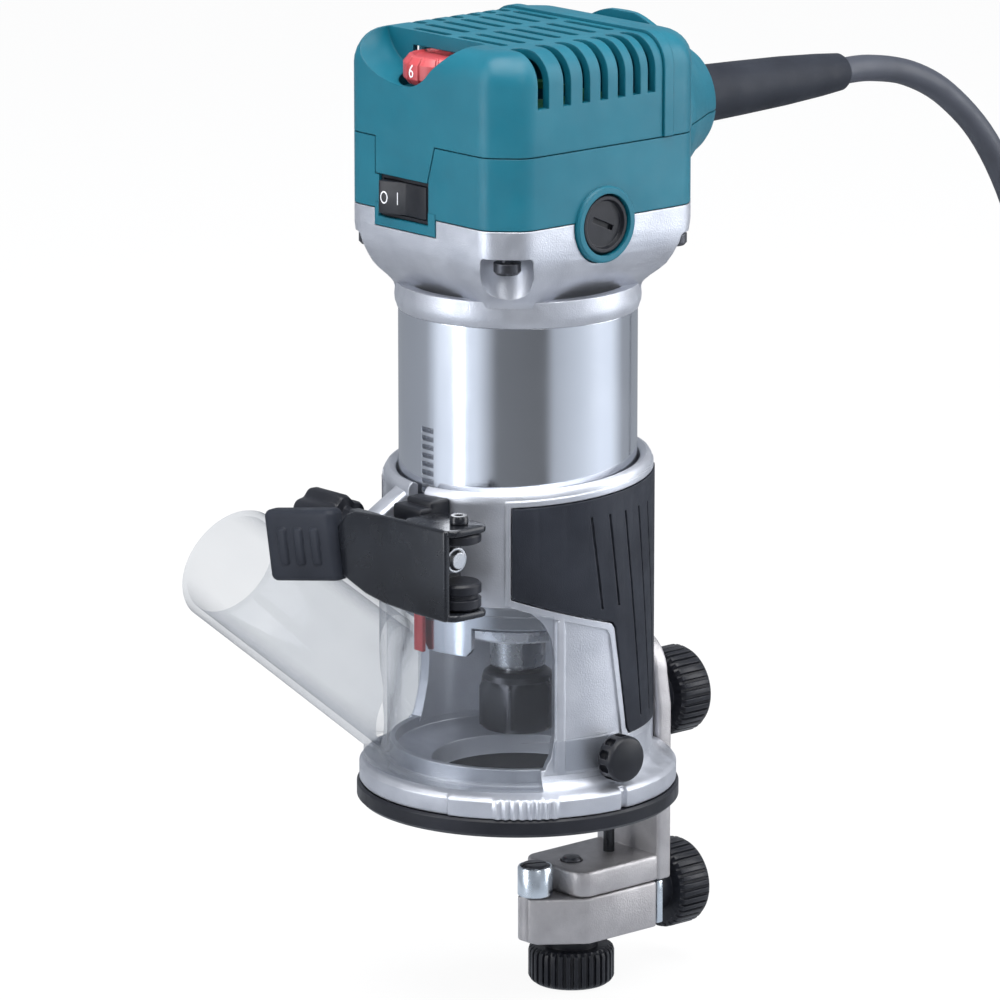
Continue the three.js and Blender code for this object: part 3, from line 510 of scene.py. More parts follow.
def lower_shell():
    plan = head_plan(HEAD_W, HEAD_F, HEAD_B, HEAD_CORNER)
    shell = prism("lower_shell", plan, CASTING_TOP + 0.3, SEAM_Z - SEAM_GAP)
    inner = rounded_plan(-HEAD_W + 2.6, HEAD_W - 2.6, HEAD_F + 2.6, HEAD_B - 2.6, 8.4, 9)
    carve(shell, prism("inner", inner, 160, 190))
    tab = box("tab", -17.8, 6.8, HEAD_F - 0.2, HEAD_F + 3, 161.9, 168)
    middle = (0, 0, BRUSH_Z)
    left = turned("boss_left", [(9.9, -35.9), (10.4, -35.3), (10.4, -26)], "X", middle, 64)
    right = turned("boss_right", [(10.4, 26), (10.4, 35.3), (9.9, 35.9)], "X", middle, 64)
    weld(shell, tab, left, right)
    gap = [(175.7, -17.9), (175.7, 3.7), (190, 7.9), (190, -17.9)]
    carve(
        shell,
        prism("tongue_gap", gap, HEAD_F - 2, HEAD_F + 2.8, "Y"),
        box("switch_hole", -16.2, 4.0, -42, -30, 164.4, 177),
        rod("cap_hole_r", 8.4, 28, 42, "X", middle),
        rod("cap_hole_l", 8.4, -42, -28, "X", middle),
        rod("cord_hole", 9.6, 30, 70, "Y", (0, 0, CORD_Z)),
    )
    finish(shell, TEAL, "motor", "teal", "lower_housing")


def switch_parts():
    bezel = box("switch_bezel", -16.0, 3.8, -34.6, -22, 164.6, 175.8)
    carve(bezel, box("hole", -15.2, 2.8, -40, -27.5, 165.5, 174.9))
    finish(bezel, BLACK, "motor", "black", "switch_body")
    outline = [(-14.8, -31), (-14.3, -37.2), (-13.7, -37.5), (-10.2, -36.6), (-6.6, -34.9), (-5.8, -34.7),
               (-1, -34.9), (2.4, -34.9), (2.6, -34.2), (2.6, -31)]
    rocker = soften(prism("switch_rocker_key", outline, 165.7, 174.7), 0.35)
    finish(rocker, BLACK, "rocker", "black", "switch_rocker")
    slope = math.degrees(math.atan2(0.9, 4.0))
    ring = tube("switch_mark_off", [(0.92, -0.05), (1.18, -0.05), (1.18, 0.05), (0.92, 0.05)], seg=40)
    ring.data.transform(Matrix.Diagonal((1.0, 1.45, 1, 1)))
    bar = box("switch_mark_on", -0.13, 0.13, -1.7, 1.7, -0.05, 0.05)
    for mark, x, y in ((ring, -12.2, -37.13), (bar, -8.2, -35.78)):
        set_at(mark, (x, y, 170.2), (slope, "Z"), (90, "X"))
        finish(mark, WHITE_INK, "rocker", "black")


def speed_dial():
    flutes = 14

    def facets(t, r):
        phase = (t * flutes / (2 * math.pi)) % 1
        groove = 0.55 if (phase < 0.10 or phase > 0.90) and r > 9 else 0.0
        return r - groove

    profile = [(2, 201.0), (9.6, 201.0), (10.9, 202.6), (10.9, 206.6), (9.4, 208.4), (8.2, 208.6),
               (7.6, 208.0), (2, 208.0)]
    wheel = turned("dial_wheel", profile, "Z", (*DIAL_AT, 0), flutes * 20, facets)
    finish(wheel, CORAL, "dial", "red", "speed_dial")


def digit_six(name, size):
    """A generic figure six drawn as one stroked line."""
    path = [(0.32, 0.92), (0.02, 0.62), (-0.28, 0.2), (-0.34, -0.2), (-0.22, -0.52), (0.04, -0.62),
            (0.3, -0.48), (0.36, -0.16), (0.24, 0.1), (0.0, 0.2), (-0.26, 0.06)]
    half, thick = 0.1, 0.06
    verts, faces = [], []
    for i, (x, y) in enumerate(path):
        ax, ay = path[max(i - 1, 0)]
        bx, by = path[min(i + 1, len(path) - 1)]
        n = Vector((-(by - ay), bx - ax)).normalized() * half
        for side in (-1, 1):
            for h in (0, thick):
                verts.append(((x + side * n.x) * size, (y + side * n.y) * size, h * size))
    for a in range(0, len(verts) - 4, 4):
        b = a + 4
        faces += [(a, a + 2, b + 2, b), (a + 1, b + 1, b + 3, a + 3)]
        faces += [(a, b, b + 1, a + 1), (a + 2, a + 3, b + 3, b + 2)]
    last = len(verts)
    faces += [(0, 1, 3, 2), (last - 4, last - 2, last - 1, last - 3)]
    return new_object(name, verts, faces)


def dial_mark():
    azimuth = -4
    t = math.radians(azimuth)
    normal = Vector((math.sin(t), -math.cos(t), 0))
    mark = set_at(digit_six("dial_figure", 2.1), Vector((*DIAL_AT, 204.6)) + normal * 10.86,
                  (azimuth, "Z"), (90, "X"))
    finish(mark, WHITE_INK, "dial", "red")


def brush_cap(side, name, node):
    profile = [(2, 28.8), (7.9, 28.8), (7.9, 34.9), (7.5, 35.3), (6.7, 35.3), (6.5, 34.7), (6.2, 34.1),
               (0.01, 34.1)]
    cap = turned(name, [(r, side * x) for r, x in profile], "X", (0, 0, BRUSH_Z), 72)
    slot = set_at(box("slot", -2, 2, -3.9, 3.9, -0.75, 0.75), (side * 35, 0, BRUSH_Z), (-24, "X"))
    carve(cap, slot)
    finish(cap, BLACK, "motor", "black", node)


# ---------- motor housing ----------
def blend_ring(z, share, circle_r):
    """Between the head's rounded plan (share 0) and a circle (share 1)."""
    ring = []
    for x, y in head_plan(HEAD_W, HEAD_F, HEAD_B, HEAD_CORNER, 12):
        t = math.atan2(y, x)
        ring.append((
            x * (1 - share) + circle_r * math.cos(t) * share,
            y * (1 - share) + circle_r * math.sin(t) * share,
            z,
        ))
    return ring


def corner_screws(out):
    """(x, y) of the four screws at the head's corners, moved outwards by so many mm."""
    corners = ((26.4, -27), (26.4, 30.4), (-26.4, 30.4), (-26.4, -27))
    return [(x + math.copysign(out, x), y + math.copysign(out, y)) for x, y in corners]


def motor_housing():
    stack = [(CASTING_TOP, 0, 35), (161, 0, 35), (158.5, 0.03, 35), (156, 0.10, 35), (153, 0.26, 35),
             (150.5, 0.46, 34.9), (148.5, 0.67, 34.7), (147, 0.84, 34.4), (145.8, 0.95, 34.1),
             (144.8, 1, 33.8), (143.4, 1, 33.4)]
    flare = loft("motor_housing_flare", [blend_ring(z, share, r) for z, share, r in stack])
    pocket = [(1.0, 140), (4.0, 143), (6.2, 148), (7.1, 153), (7.1, 158.2), (6.7, 158.8)]
    cutters = [turned("pocket", pocket, "Z", (x, y, 0), 40) for x, y in corner_screws(2.0)]
    for lo, hi in ((20, 50), (-50, -20)):
        cutters.append(rod("brush_hole", 10.75, lo, hi, "X", (0, 0, BRUSH_Z), 64))
    carve(flare, box("switch_bay", -18.1, 7.1, -42, -20, 161.6, 170), *cutters)
    finish(flare, CASTING, "motor", "polished")

    neck = [(30, 145), (33.2, 145), (33.3, 143.6), (33.4, 142.3), (33.5, 141), (33.4, 139.7), (33.0, 138.6),
            (32.8, 137.9), (30, 137.6)]
    finish(tube("motor_neck_bead", neck, seg=128), CASTING, "motor", "polished")

    skin = [(30, BARREL_BOTTOM + 3), (30, BARREL_BOTTOM), (31.8, BARREL_BOTTOM),
            (BARREL_R, BARREL_BOTTOM + 0.8), (BARREL_R, 137.8), (30, 137.8)]
    barrel = tube("motor_barrel", skin, seg=160)
    tab = [(-2, 57), (-2, 48.5), (0.5, 46.7), (23, 46.7), (26, 48.6), (26, 57)]
    weld(barrel, wrap_slab("apron", tab, 30.2, BARREL_R))
    teeth = []
    for i in range(RACK_TEETH):
        z = PINION_Z + (i - 9) * RACK_PITCH
        teeth.append(box(f"tooth_{i}", -2.3, 2.3, -34, -BARREL_R + 1.7, z - 0.66, z + 0.66))
    carve(barrel, *teeth)
    finish(barrel, TURNED, "motor", "polished", "motor_housing", angle=24)

    floor = [(16.7, BARREL_BOTTOM + 4), (16.7, BARREL_BOTTOM + 0.4), (20, BARREL_BOTTOM),
             (30.4, BARREL_BOTTOM + 0.3), (30.4, BARREL_BOTTOM + 4)]
    finish(tube("motor_end_wall", floor), CASTING, "motor", "polished")


def housing_screws():
    profile = [(1.0, 155.2), (1.3, 154.4), (3.0, 154.2), (3.7, 155), (3.7, 157.4), (1.8, 157.5), (1.8, 170)]
    for i, (x, y) in enumerate(corner_screws(1.2)):
        head = turned(f"housing_screw_head_{i + 1}", profile, "Z", (x, y, 0), 32)
        finish(head, OXIDE, "motor", "steel", f"housing_screw_{i + 1}")


def hexagon(apothem, lean=0.0):
    """A shape for turned and tube that cuts six flats."""
    def flats(t, r):
        return min(r, apothem / math.cos(((t - math.radians(lean)) % (math.pi / 3)) - math.pi / 6))
    return flats


def spindle_parts():
    nose = [(0, 36), (5.2, 36), (5.2, 37), (7.3, 37.3), (7.7, 37.8), (7.7, 54)]
    finish(turned("spindle_nose", nose, seg=64), STEEL, "rotor", "steel")
    plate = [(8, 46.7), (15.9, 46.7), (16.5, 47.3), (16.5, 49.9), (16, 50.5), (16, 56), (8, 56)]
    finish(turned("retainer_flange", plate, seg=72), FLANGE, "motor", "silver", "bearing_retainer")
    profile = [(4.2, 19.5), (9.6, 19.5), (11.3, 20.9), (11.3, 31.8), (9.9, 33.4)]
    nut = turned("collet_nut_hex", profile, shape=hexagon(9.75, 8.5))
    crown = [(9.6, 33.0), (9.9, 33.5), (9.4, 35.0), (8.2, 35.9), (7.2, 36.0)]
    weld(nut, turned("crown", crown, seg=64))
    carve(nut, rod("bore", 4.2, 10, 60), rod("bore_top", 5.3, 23, 60))
    finish(nut, OXIDE, "rotor", "black_steel", "collet_nut")


# ---------- base ----------
def wave_rim(t, r):
    """A proud platform on the rim with eight finger ridges, a groove behind it."""
    azimuth = math.degrees(t) + 90
    azimuth = (azimuth + 180) % 360 - 180
    if r < 43:
        return r
    if 22.5 < azimuth < 88:
        r += 0.6
    if 40 < azimuth < 63.2:
        phase = ((azimuth - 40) / 2.9) % 1
        r += 0.8 * (0.5 - 0.5 * math.cos(2 * math.pi * phase)) ** 0.6
    if 88.4 < azimuth < 91:
        r -= 0.9
    return r


def pin_hole(lo, hi):
    return rod("pin_hole", 2, lo, hi, "Z", (0, PIN_Y, 0), 24)


def base_plate():
    profile = [(23, SOLE_T + 0.3), (PLATE_R - 0.4, SOLE_T + 0.3), (PLATE_R, 5.8), (PLATE_R, 9.9),
               (PLATE_R - 0.5, 10.6), (42.4, 11.2), (40.4, 11.6), (38.6, 12.6), (37.2, 14.4), (36.6, 16.6),
               (33.6, 16.6), (33.6, 13.5), (31.5, 12.2), (26, 11.2), (23.6, 10.4)]
    plate = tube("base_plate_casting", profile, seg=480, shape=wave_rim)
    front = sector("front_trim", 35.2, 41.6, WINDOW_LEFT + 8, WINDOW_RIGHT - 6, 11.9, 30)
    carve(plate, box("rear_flat", -60, 60, REAR_FLAT, 70, 0, 40), front, pin_hole(2, 14))
    finish(plate, CASTING, "base", "silver")


def window_outline():
    """(azimuth, z) round the window in front; its corners are rounded one point at a time."""
    left = [(-74, 12), (-79, 18), (-83, 26), (-84, 32), (-84, 54), (-82, 58.5), (-76, 60.5), (-60, 61.2)]
    right = [(20, 62), (46, 62), (54, 60.5), (59.5, 57.5), (63, 53), (64.5, 47), (64.5, 26), (63, 20),
             (59, 15), (54, 12)]
    return left + right


def base_shell():
    lip = SHELL_R + 0.1
    outer = [(SHELL_R + 0.6, 15.2), (SHELL_R + 0.2, 16.8), (SHELL_R + 0.05, 19), (SHELL_R, 22), (SHELL_R, 86),
             (36.2, 88.6), (lip, 89.4), (lip, 91.6), (35.9, 92.6), (35.2, RING_TOP), (34.0, RING_TOP - 0.4),
             (SHELL_IN, 92), (SHELL_IN, 15.2)]
    shell = tube("base_shell_casting", outer, seg=160)
    tilt_top(shell)
    window = wrap_slab("window", window_outline(), 28, 46)
    rear = sector("rear", 28, 46, 152, 208, 33, 57)
    frames, pads = [], []
    for side in (1, -1):
        frames.append(wrap_slab(f"grip_frame_{side}", grip_outline(1.8, side), 35.2, 36.95))
        pads.append(wrap_slab(f"grip_pocket_{side}", grip_outline(0.25, side), 35.1, 46))
    for a in (64.6, -88.7):
        jamb = [(a, 13), (a + 4.6, 13), (a + 4.6, 60), (a, 58)]
        frames.append(soften(wrap_slab(f"jamb_{a}", jamb, 35, 37.0), 0.7))
    gap = box("gap", -3.2, 3.2, -70, -20, 61, 110)
    weld(shell, *frames)
    carve(shell, window, rear, gap, *pads)
    arm = [(-31.5, 67.5), (-31.5, 91.5), (-34, 91.5), (-46, 85), (-47.5, 83.5), (-47.5, 67.5)]
    lug_l = prism("lug_l", arm, -11, -4.5, "X")
    lug_r = box("lug_r", 3.6, 13.6, -49.2, -31.5, 67.5, 85.0)
    nose = box("lug_nose", 3.6, 11.4, -49.2, -45.2, 80, 86.3)
    for lug in (lug_l, lug_r, nose):
        soften(lug, 1.2)
    for lug in (lug_l, lug_r):
        carve(lug, rod("inside", SHELL_IN + 0.4, 50, 110))
    pad = box("rear_pad", -11, 11, 33, REAR_FLAT, 9, 29.5)
    carve(pad, rod("inside", SHELL_IN + 0.3, 0, 60))
    weld(shell, lug_l, lug_r, nose, pad)
    bolt_hole = rod("bolt_hole", 3.0, -20, 20, "X", (0, CLAMP_Y, CLAMP_Z))
    pinion_hole = rod("pinion_hole", 3.5, -20, 9, "X", (0, PINION_Y, PINION_Z))
    guide_hole = rod("guide_hole", 3.1, 30, 50, "Y", (0, 0, GUIDE_SCREW_Z))
    carve(shell, bolt_hole, pinion_hole, guide_hole, pin_hole(2, 14))
    finish(shell, CASTING, "base", "silver", "base_frame")


def ring_top(azimuth):
    """Height of the ring's sloping top edge above the sole."""
    return RING_TOP + RING_SLOPE * SHELL_R * (1 - math.cos(math.radians(azimuth)))


def tilt_top(shell):
    """Lifts the lip of the ring towards the rear."""
    for v in shell.data.vertices:
        share = min(max((v.co.z / MM - 86) / 2.6, 0), 1)
        v.co.z += RING_SLOPE * (v.co.y / MM + SHELL_R) * share * MM


def grip_outline(grow, side):
    """The pad's outline as (azimuth, z), grown by so many mm."""
    d = math.degrees(grow / SHELL_R)
    points = [(46 - d, 64.6 - grow), (92 - d, 55.7 - grow), (93.8 - d, 54.2 - grow), (101.4 - d, 25.2 - grow),
              (103.4 - d, 23.4 - grow), (142 + d, 23.4 - grow)]
    steps = 8
    for k in range(steps + 1):
        a = 142 + d - (96 + 2 * d) * k / steps
        points.append((a, ring_top(a) - 4.2 + grow))
    return [(side * a, z) for a, z in points]


def sole():
    ring = tube("sole_ring_black", [(24, 0.2), (24.4, 0), (SOLE_R - 0.9, 0), (SOLE_R, 0.9), (SOLE_R, 4.3),
                                    (SOLE_R - 0.5, SOLE_T), (24, SOLE_T)], seg=192)
    holes = [rod(f"hole_{a}", 3.5, -2, 2.4, "Z", (*ring_point(33.5, a), 0), 32) for a in SOLE_SCREWS]
    carve(ring, box("rear_flat", -60, 60, REAR_FLAT, 70, -5, 10), pin_hole(-2, 8), *holes)
    finish(ring, BLACK, "base", "black", "sole_ring")
    profile = [(0, 0.7), (2.6, 0.5), (3.2, 0.9), (3.2, 2.3), (1.5, 2.4), (1.5, 7.5)]
    for i, a in enumerate(SOLE_SCREWS):
        x, y = ring_point(33.5, a)
        head = turned(f"sole_screw_{i + 1}", profile, "Z", (x, y, 0), 32)
        carve(head, box("slot_a", x - 1.8, x + 1.8, y - 0.35, y + 0.35, 0, 1.3),
              box("slot_b", x - 0.35, x + 0.35, y - 1.8, y + 1.8, 0, 1.3))
        finish(head, STEEL, "base", "steel")


def ring_point(r, azimuth):
    t = math.radians(azimuth)
    return (r * math.sin(t), -r * math.cos(t))


def grip_pad(side):
    """A moulded rubber pad with slanted grooves and a tail that runs down the column."""
    hand = "right" if side > 0 else "left"
    pad = soften(wrap_slab(f"grip_pad_{hand}", grip_outline(-0.1, side), 35.3, 37.3), 0.5, 3, 40)
    grooves = []
    for i, a in enumerate((80, 89.5, 99, 109, 118)):
        low = 60 if a < 95 else 27
        lean = 5.5 * (86 - low) / 25
        line = [(a, 86), (a + lean, low), (a + lean + 1.25, low), (a + 1.25, 86)]
        grooves.append(wrap_slab(f"groove_{i}", [(side * q, z) for q, z in line], 36.6, 40))
    carve(pad, *grooves)
    finish(pad, RUBBER, "base", "rubber", f"grip_{hand}")


def nozzle():
    tilt = math.radians(17)
    axis = Vector((-math.cos(tilt), 0, math.sin(tilt)))
    across, upward = Vector((0, 1, 0)), Vector((math.sin(tilt), 0, math.cos(tilt)))
    start = Vector((-33, -18.5, 28))

    def pipe(name, stations):
        """A slanted round bar through (radius, distance along the pipe)."""
        rings = []
        for r, along in stations:
            centre = start + axis * along
            angles = [2 * math.pi * i / 96 for i in range(96)]
            rings.append([tuple(centre + (across * math.cos(t) + upward * math.sin(t)) * r) for t in angles])
        return loft(name, rings)

    left, right = WINDOW_LEFT + 1, WINDOW_RIGHT - 1
    wall = sector("dust_nozzle_clear", 35.9, 37.9, left, right, 12.9, WINDOW_TOP - 0.4)
    outer = pipe("outer", [(17.6, -14), (17.5, 0), (17.3, 40), (17.3, 71.4), (17.0, 72)])
    carve(outer, rod("inside", 37.0, 0, 90, seg=96))
    behind = sector("behind", 30, 90, WINDOW_LEFT - 100, WINDOW_LEFT - 8, 0, 90)
    carve(outer, box("under", -140, 0, -60, 60, 0, 12.9), behind)
    weld(wall, outer)
    weld(wall, sector("skirt", 36.6, 42.4, -60, 58, 12.2, 13.6), sector("tab", 36.8, 38.6, 50, 94, 14, 25))
    bore = pipe("bore", [(15.5, -24), (15.4, 0), (15.2, 76)])
    carve(wall, bore, rod("screw", 2.6, 30, 60, "X", (0, 0, THUMB_Z)))
    finish(wall, CLEAR, "base", "clear", "dust_nozzle")
    mark = soften(sector("depth_mark", 33.6, 34.8, -5.5, 0.7, 46.4, 61), 0.2, 2)
    finish(mark, CORAL, "base", "red")


def nozzle_thumb_screw():
    profile = [(3, 39.3), (5.8, 39.3), (6.4, 39.9), (6.4, 44.0), (5.9, 44.8), (4.9, 45.2), (0.01, 45.3)]
    body = turned("thumb_screw_head", profile, "X", (0, 0, THUMB_Z), 64)
    dents = []
    for i in range(10):
        t = math.radians(18 + i * 36)
        at = (0, 6.0 * math.cos(t), THUMB_Z + 6.0 * math.sin(t))
        dents.append(turned(f"dent_{i}", [(0.5, 40.2), (1.25, 40.7), (1.25, 43.1), (0.5, 43.6)], "X", at, 16))
    carve(body, *dents)
    finish(body, BLACK, "thumb_screw", "black", "nozzle_thumb_screw")


# ---------- clamp and lever ----------
def lock_lever():
    face = [(69.5, -22), (69.5, -14), (68.2, -10), (65.4, -2), (64.1, 6), (LEVER_LOW, 16), (LEVER_LOW, 31),
            (LEVER_TOP, 31), (LEVER_TOP, 24), (88.2, 6), (87.4, -6), (86.2, -9.5), (82.4, -13), (81, -16),
            (81, -22)]
    sheet = soften(prism("lever_face", face, -53.2, -51.2, "Y"), 0.7)
    folds = [
        prism("top", rounded_plan(12.2, 33, -52.6, -38.8, 3.2, 6), LEVER_TOP - 1.9, LEVER_TOP),
        prism("bottom", rounded_plan(10, 33, -52.6, -38.8, 3.2, 6), LEVER_LOW, LEVER_LOW + 1.9),
        box("ridge", -9.5, 10, -52.4, -48.8, 85.4, 87.2),
    ]
    weld(sheet, *[soften(fold, 0.6) for fold in folds])
    carve(sheet, rod("pin", 2.2, 50, 100, "Z", (*LEVER_PIN, 0)))
    finish(sheet, BLACK_STEEL, "lever", "black_steel", "lock_lever")

    sleeve = prism("lever_sleeve_rubber", rounded_plan(-24.5, 0, -3.3, 3.3, 2.6, 6), -9.8, 9.8)
    soften(sleeve, 1.8, 4)
    ribs = [box(f"rib_{x}", x, x + 3.3, -4.1, 0, -5.2, 5.2) for x in (-19.4, -13.7, -8.0)]
    weld(sleeve, *[soften(rib, 0.9) for rib in ribs])
    set_at(sleeve, (-12.5, -52.3, 77), (11, "Z"), (-8.5, "Y"))
    finish(sleeve, RUBBER, "lever", "rubber", "lever_sleeve")


def lever_pin():
    at, top = (*LEVER_PIN, 0), LEVER_TOP
    profile = [(1.9, 84.4), (1.9, top + 0.1), (2.5, top + 0.2), (2.5, top + 1.9), (2.2, top + 2.4),
               (1.2, top + 2.4), (1.0, top + 1.6), (0.01, top + 1.6)]
    head = turned("lever_pin_head", profile, "Z", at, 40)
    finish(head, BLACK_STEEL, "base", "steel", "lever_pin")
    finish(rod("lever_pin_foot", 1.9, 62.6, 72.5, "Z", at, 40), BLACK_STEEL, "base", "steel")


def clamp_cam():
    x, y = LEVER_PIN
    profile = [(5.4, 65.8), (6.0, 66.4), (6.0, 68.6), (5.2, 69), (5.2, 69.8), (6.0, 70.2), (6.0, 72.4),
               (5.4, 73)]
    cam = turned("clamp_cam_block", profile, "Z", (x, y, 0), 48)
    upper = turned("upper", [(5.5, 83.8), (6.0, 84.2), (6.0, 86.0), (5.6, 86.5)], "Z", (x, y, 0), 48)
    links = [
        box("web", 17.9, 22.6, -49.8, -40, 66.2, 86.2),
        box("low_link", 20, x, -49.6, -40, 66.4, 72.8),
        box("top_link", 20, x, -49.6, -40, 84.0, 86.2),
    ]
    weld(cam, upper, *[soften(link, 0.6, 2) for link in links])
    finish(cam, BLACK, "base", "black", "clamp_cam")


def clamp_bolt():
    at = (0, CLAMP_Y, CLAMP_Z)
    shank = [(4.3, -12.9), (4.3, -10), (2.6, -9.9), (2.75, 20), (2.75, 27.8), (2.2, 28.6), (0.01, 28.6)]
    finish(turned("clamp_bolt_shank", shank, "X", at, 40), STEEL, "base", "steel", "clamp_bolt")
    profile = [(2.8, 22.9), (4.0, 22.9), (4.4, 23.4), (4.4, 25.2), (4.0, 25.7), (2.8, 25.7)]
    nut = turned("clamp_nut_hex", profile, "X", at, 72, hexagon(3.9))
    finish(nut, OXIDE, "base", "steel", "clamp_nut")
    collar = [(2.8, 26.6), (3.35, 26.6), (3.4, 27.6), (2.8, 27.6)]
    finish(tube("clamp_bolt_ring", collar, "X", at, 48), STEEL, "base", "steel")


def lug_cap():
    cap = soften(box("lug_cap_black", -0.2, 11.7, -44.8, -34, 85.3, 89.6), 0.8)
    weld(cap, soften(box("lug_cap_step", 1.2, 11.7, -41.2, -34, 86, 91.2), 0.8))
    carve(cap, rod("ring_room", SHELL_R + 0.4, 60, 120))
    finish(cap, BLACK, "base", "black", "lug_cap")


def depth_drive():
    def lobes(t, r):
        if r < 5:
            return r
        return r - 1.25 * (0.5 + 0.5 * math.cos(6 * t)) ** 1.4

    def gear(t, r):
        if r < 2.7:
            return r
        phase = (t * PINION_TEETH / (2 * math.pi)) % 1
        return 4.75 if phase < 0.2 or phase > 0.8 else 3.2

    at = (0, PINION_Y, PINION_Z)
    grip = [(2.8, -45.4), (6.0, -45.4), (7.3, -44.6), (7.7, -43.2), (7.7, -31.4), (7.2, -30.2), (5.0, -29.6),
            (4.4, -28.4), (4.4, -22)]
    knob = turned("depth_knob_lobed", grip, "X", at, 96, lobes)
    finish(knob, BLACK, "pinion", "black", "depth_knob")
    bar = [(2.3, -22), (2.3, -2.7), (4.0, -2.6), (4.0, 2.6), (2.3, 2.7), (2.3, 8.4), (0.01, 8.5)]
    shaft = turned("pinion_shaft", bar, "X", at, PINION_TEETH * 12, gear)
    finish(shaft, STEEL, "pinion", "steel", "depth_pinion")


# ---------- roller guide ----------
def ribbed_knob(name, r, base, tip, hub_r, hub, axis, at):
    """A knob with fine square ribs and smooth chamfered ends; a plain hub reaches back from its base."""
    ribs = 34

    def shape(t, q):
        if q < r - 0.5:
            return q
        phase = (t * ribs / (2 * math.pi)) % 1
        return q - (0.85 if phase < 0.36 else 0.0)

    s = math.copysign(1, tip - base)
    profile = [(hub_r * 0.5, hub), (hub_r, hub), (hub_r, base), (r - 1.6, base), (r - 0.3, base + 0.7 * s),
               (r, base + 1.6 * s), (r, tip - 1.8 * s), (r - 0.6, tip - 0.8 * s), (r - 1.5, tip - 0.1 * s),
               (r - 2.4, tip), (0.01, tip)]
    return turned(name, profile, axis, at, ribs * 12, shape)


def guide_bracket():
    outline = arc(0, 28.5, 11.5, 0, 180, 24) + [(-13, 20), (-13, -30.3), (13, -30.3), (13, 20)]
    bracket = soften(prism("guide_bracket_plate", [(z, x) for x, z in outline], 41, 45.8, "Y"), 0.9)
    block = prism("block", rounded_plan(-12.6, 12.6, 12.6, 44, 4.2), -30.3, -23)
    weld(bracket, soften(block, 0.9, 3, 40))
    slot = arc(0, 31, 3.2, 0, 180, 12) + arc(0, 6, 3.2, 180, 360, 12)
    carve(bracket, prism("slot", [(z, x) for x, z in slot], 36, 50, "Y"),
          rod("lock", 3.2, -40, -10, "Z", (0, LOCK_Y, 0)))
    pin = rod("guide_locating_pin", 1.6, -23.6, -1.3, "Z", (0, PIN_Y, 0), 24)
    finish(pin, BLACK_STEEL, "bracket", "black_steel")
    finish(bracket, WARM, "bracket", "warm", "guide_bracket")
    retainer = soften(box("screw_retainer_plate", -12.4, 12.4, 41.2, 43.4, -43, -30.6), 0.5, 2)
    carve(retainer, rod("hole", 3, 38, 50, "Y", (0, 0, ADJUST_Z)))
    finish(retainer, ZINC, "bracket", "zinc", "screw_retainer")


def guide_slider():
    plan = [(-12.6, 40.7), (-12.6, 15.8), (-11.8, 14.2)]
    plan += arc(0, ROLLER_Y + 0.2, 4.9, 205, 335, 14)
    plan += [(11.8, 14.2), (12.6, 15.8), (12.6, 40.7)]
    slider = prism("slider_block_casting", plan, -43.7, -30.6)
    carve(slider, set_at(box("wedge", -30, 30, -16, 16, -8, 0), (0, 0, -42.4), (-17, "X")))
    soften(slider, 0.9, 3, 40)
    carve(slider, vent("lock_slot", -3, 3, 0, 6, -50, -20))
    finish(slider, WARM, "slider", "warm", "slider_block")


def guide_roller():
    at = (0, ROLLER_Y, 0)
    wheel = [(2, -30.2), (4.6, -30.3), (4.9, -30.0), (4.9, -22.4), (4.6, -21.9), (4.2, -21.9), (4.1, -23.4),
             (2, -23.6)]
    finish(tube("guide_roller_wheel", wheel, "Z", at, 64), ZINC, "roller", "zinc", "guide_roller")
    head = [(1.6, -35), (1.6, -23.5), (3.9, -23.3), (3.9, -21.9), (3.3, -21.3), (0.01, -21.2)]
    screw = turned("roller_screw_head", head, "Z", at, 48)
    carve(screw, set_at(box("slot", -5, 5, -0.55, 0.55, -22.4, -20), at, (68, "Z")))
    finish(screw, OXIDE, "slider", "steel", "roller_screw")


def guide_knobs():
    for body, z, tip in (("clamp_knob", GUIDE_SCREW_Z, 34.5), ("adjust_knob", ADJUST_Z, 24.6)):
        at = (0, 0, z)
        knob = ribbed_knob(f"guide_{body}_ribbed", 12.3, 51.5, 62.5, 7.4, 47.6, "Y", at)
        finish(knob, BLACK, body, "black", f"guide_{body}")
        profile = [(0.01, tip), (2.3, tip), (2.7, tip + 0.6), (2.7, 48)]
        finish(turned(f"guide_{body}_ribbed_shank", profile, "Y", at, 32), STEEL, body, "steel")
    washer = [(3, 46.1), (6.2, 46.1), (6.4, 46.4), (6.4, 47.1), (6.2, 47.3), (3, 47.3)]
    ring = tube("guide_washer_ring", washer, "Y", (0, 0, GUIDE_SCREW_Z), 64)
    finish(ring, OXIDE, "clamp_knob", "zinc", "guide_washer")


def slider_lock():
    at = (0, LOCK_Y, 0)
    lock = ribbed_knob("slider_lock_knob_ribbed", 12, -47.2, -57.8, 7.4, -45.4, "Z", at)
    finish(lock, BLACK, "lock_knob", "black", "slider_lock_knob")
    stud = turned("slider_lock_stud", [(2.9, -46), (2.9, -22.6), (2.3, -21.9), (0.01, -21.6)], "Z", at, 32)
    finish(stud, OXIDE, "lock_knob", "steel")
    washer = [(2.8, -45.3), (6.6, -45.3), (6.9, -45.0), (6.9, -44.2), (6.6, -44), (2.8, -44)]
    finish(tube("lock_washer_ring", washer, "Z", at, 64), OXIDE, "lock_knob", "zinc", "lock_washer")


